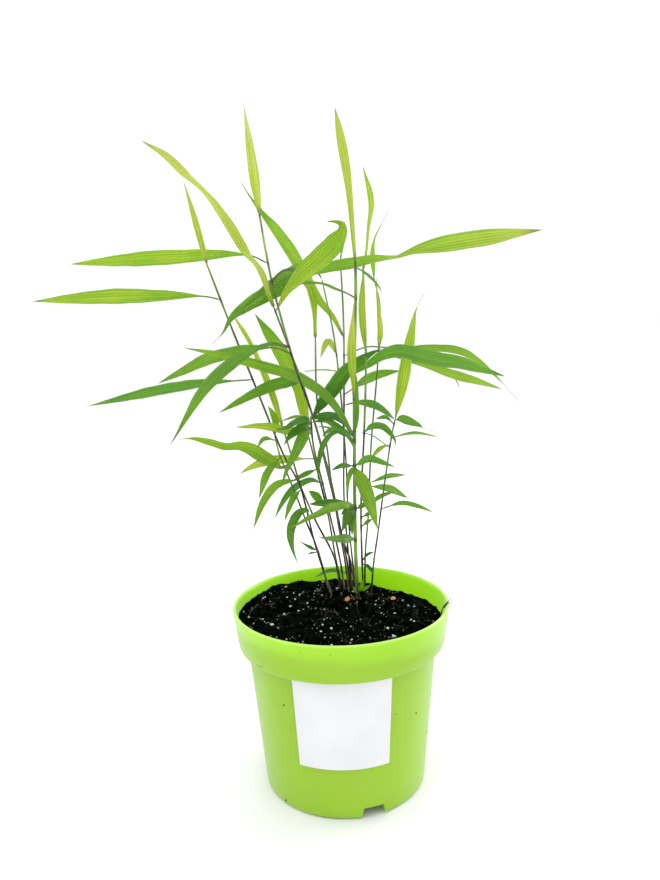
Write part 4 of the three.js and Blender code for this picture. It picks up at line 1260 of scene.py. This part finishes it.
def make_soil(material):
    edge = band_radius(SOIL_EDGE_HEIGHT) - POT_WALL - SOIL_GAP
    rings = [edge * (1 - step / SOIL_RINGS) for step in range(SOIL_RINGS)]
    profile = [
        (0, POT_FLOOR + SOIL_GAP), (34, POT_FLOOR + SOIL_GAP), (body_radius(8) - POT_WALL - SOIL_GAP, 9),
        (BODY_TOP_RADIUS - POT_WALL - SOIL_GAP, BAND_FOOT_HEIGHT - 3),
        (BODY_TOP_RADIUS - POT_WALL + 1.5, BAND_FOOT_HEIGHT + 1.5),
        (band_radius(BAND_FOOT_HEIGHT + 6) - POT_WALL - SOIL_GAP, BAND_FOOT_HEIGHT + 6),
        *[(radius, SOIL_EDGE_HEIGHT) for radius in rings], (0, SOIL_EDGE_HEIGHT + 5),
    ]

    def rough(place):
        if place.z < SOIL_EDGE_HEIGHT:
            return place
        height = soil_height(place.x, place.y)
        room = band_radius(height) - POT_WALL - SOIL_GAP
        inward = min(1, room / max(math.hypot(place.x, place.y), 1))
        return Vector((place.x * inward, place.y * inward, height))

    mesh = lathe("potting_soil", profile, SOIL_SEGMENTS, rough)
    centre = max(mesh.vertices, key=lambda v: v.co.z if abs(v.co.x) + abs(v.co.y) < 1e-6 else -1)
    centre.co.z = soil_height(0, 0) * MM
    mesh.materials.append(material)
    for polygon in mesh.polygons:
        polygon.use_smooth = True
    return finished(new_object("potting_soil", mesh), "potting_soil", "soil")


def grains_tree():
    """Rough grains strewn over the top of a surface: size, count and seed are inputs."""
    tree, given = new_tree("Strewn grains", {
        "Grains a square metre": ("Float", 20000.0), "Smallest": ("Float", 0.0005), "Largest": ("Float", 0.0015),
        "Rareness of large": ("Float", 2.0), "Patchiness": ("Float", 0.0), "Lumpiness": ("Float", 0.35),
        "Sunk": ("Float", 0.2), "Faces": ("Int", 1), "Seed": ("Int", 1), "Finish": ("Material", None),
    })

    def drawn(more, low=None, high=None):
        """A random share, or a random vector between two others."""
        seed = given["Seed"] + more if more else given["Seed"]
        if low is None:
            return add(tree, "FunctionNodeRandomValue", {"Seed": seed}, 1, data_type="FLOAT")
        inputs = {"Min": low, "Max": high, "Seed": seed}
        return add(tree, "FunctionNodeRandomValue", inputs, data_type="FLOAT_VECTOR")

    position = add(tree, "GeometryNodeInputPosition")
    x = add(tree, "ShaderNodeSeparateXYZ", {0: position})
    y, z = x.beside("Y"), x.beside("Z")
    upward = height_of(add(tree, "GeometryNodeInputNormal"))
    on_top = maths("GREATER_THAN", upward, 0.2) * maths("GREATER_THAN", z, (SOIL_EDGE_HEIGHT - 8) * MM)
    on_top = on_top * maths("LESS_THAN", maths("SQRT", x * x + y * y), GRAIN_REACH * MM)
    crowded = ranged(noise_at(position, 42.0, 1.0), 0.44, 0.60, 0.15, 2.4) - 1.0
    density = given["Grains a square metre"] * maths("MULTIPLY_ADD", crowded, given["Patchiness"], 1.0)
    points = add(tree, "GeometryNodeDistributePointsOnFaces", {
        "Mesh": given["Geometry"], "Selection": on_top, "Density": density, "Seed": given["Seed"],
    }, distribute_method="RANDOM")
    rare = maths("POWER", drawn(0), given["Rareness of large"])
    size = given["Smallest"] + rare * (given["Largest"] - given["Smallest"])
    down = add(tree, "ShaderNodeCombineXYZ", {"Z": size * given["Sunk"] * -1.0})
    points = changed(points, "SetPosition", {"Offset": down})
    points = stored(points, "shade", maths("POWER", drawn(13.0), 1.8))
    ball = add(tree, "GeometryNodeMeshIcoSphere", {"Radius": 1.0, "Subdivisions": given["Faces"]})
    placed = add(tree, "GeometryNodeInstanceOnPoints", {
        "Points": points, "Instance": ball, "Rotation": drawn(9.0, (0.0, 0.0, 0.0), (6.28, 6.28, 6.28)),
        "Scale": scaled(drawn(5.0, (0.6, 0.6, 0.5), (1.3, 1.2, 0.9)), size),
    })
    real = changed(placed, "RealizeInstances")
    wobble = noise_at(position, 900.0, 1.0, "Color")
    shove = add(tree, "ShaderNodeVectorMath", {0: wobble, 1: (0.5, 0.5, 0.5)}, operation="SUBTRACT")
    real = changed(real, "SetPosition", {"Offset": scaled(shove, given["Lumpiness"] * 0.001)})
    real = changed(real, "RealizeInstances")
    return whole_tree(changed(real, "SetMaterial", {"Material": given["Finish"]}))


def strew(name, soil, tree, values):
    """A piece of grains on the soil, from a copy of its surface."""
    piece = new_object(name, soil.data.copy())
    piece.data.materials.clear()
    grown(piece, tree, values)
    return finished(piece, "potting_soil")


# Fibres


def fibre_tree():
    """Thin round fibres along given lines."""
    tree, given = new_tree("Fibres", {"Sides": ("Int", 6), "Finish": ("Material", None)})
    tube = changed(tubes_along(given["Geometry"], given["Sides"]), "SetShadeSmooth", {"Shade Smooth": True})
    tube = changed(tube, "RealizeInstances")
    return whole_tree(changed(tube, "SetMaterial", {"Material": given["Finish"]}))


def on_soil(line, rise=0.4):
    """Points of a line that lies on the soil, each a little above it."""
    return [(x, y, soil_height(x, y) + rise) for x, y in line]


def loose_lines(count, longest, seed):
    """Bent lines strewn over the soil."""
    rng = random.Random(seed)
    lines = []
    for _ in range(count):
        distance, angle = FIBRE_START * math.sqrt(rng.random()), rng.uniform(0, 2 * math.pi)
        x, y = distance * math.cos(angle), distance * math.sin(angle)
        heading, bend = rng.uniform(0, 2 * math.pi), rng.uniform(-0.12, 0.12)
        step = rng.uniform(0.3, 1) * longest / FIBRE_POINTS
        rise = rng.uniform(0.1, 0.6)
        line = []
        for _ in range(FIBRE_POINTS):
            if math.hypot(x, y) > FIBRE_REACH:
                break
            line.append((x, y))
            x += math.cos(heading) * step
            y += math.sin(heading) * step
            heading += bend
        if len(line) > 2:
            lines.append(on_soil(line, rise))
    return lines


def make_fibres(name, tree, finish, lines, thick):
    """Bits of root and straw along given lines, each thinner toward its end."""
    places, edges, radii = [], [], []
    for line in lines:
        path = even_path(line, FIBRE_STEP)[0]
        edges += [(len(places) + i, len(places) + i + 1) for i in range(len(path) - 1)]
        places += path
        radii += [thick / 2 * MM * (1 - 0.6 * i / len(path)) for i in range(len(path))]
    mesh = new_mesh(name, places, edges=edges)
    store(mesh, "radius", radii)
    piece = grown(new_object(name, mesh), tree, {"Sides": 6, "Finish": finish})
    return finished(piece, "potting_soil")


# The whole


def make_ground():
    peat, white = black_peat(), perlite()
    make_specks(peat)
    soil = make_soil(peat)
    grains = grains_tree()
    strew("peat_crumbs", soil, grains, {
        "Grains a square metre": 260000.0, "Smallest": 0.0004, "Largest": 0.0016, "Rareness of large": 2.5,
        "Lumpiness": 0.5, "Sunk": 0.1, "Faces": 1, "Seed": 11, "Finish": peat,
    })
    strew("perlite_grains", soil, grains, {
        "Grains a square metre": 27000.0, "Smallest": 0.00022, "Largest": 0.00085, "Rareness of large": 2.6,
        "Patchiness": 1.0, "Lumpiness": 0.9, "Sunk": -0.1, "Faces": 2, "Seed": 23, "Finish": white,
    })
    tan = dry_straw("Tan grain", (0.76, 0.42, 0.15), (0.55, 0.26, 0.08))
    dead = dry_straw("Dead stump", (0.66, 0.37, 0.11), (0.26, 0.09, 0.025))
    rusty = dry_straw("Rusty sheath", (0.075, 0.018, 0.006), (0.02, 0.008, 0.004))
    make_lumps("large_perlite", WHITE_GRAINS, 0.3, white, 3)
    make_lumps("tan_grains", TAN_GRAINS, 0.2, tan, 4)
    make_lumps("old_stump", OLD_STUMP, 0.3, dead, 8)
    make_lumps("dead_sheaths", DEAD_SHEATHS, 0.4, rusty, 9)
    fibres = fibre_tree()
    straw = dry_straw("Dry straw", (0.13, 0.11, 0.075), (0.05, 0.04, 0.028))
    twig = dry_straw("Brown twig", (0.12, 0.065, 0.030), (0.03, 0.018, 0.010))
    root = dry_straw("Dark root", (0.020, 0.013, 0.008), (0.006, 0.005, 0.004))
    make_fibres("straw_fibres", fibres, straw, loose_lines(10, 12, 5) + [on_soil(line) for line in STRAWS], 0.5)
    make_fibres("rim_twig", fibres, twig, TWIGS, 1.2)
    make_fibres("dark_roots", fibres, root, loose_lines(90, 12, 6), 0.5)


def make_plant():
    skin, leaf_finish, tree = stem_skin(), living_leaf(), leafy_stem_tree()
    for number, (name, plant) in enumerate(STEMS.items(), 1):
        make_leafy_stem(number, name, plant, tree, skin, leaf_finish)


make_camera()
make_studio()
make_floor()
make_pot(lime_plastic())
make_label(bare_sticker())
make_ground()
make_plant()
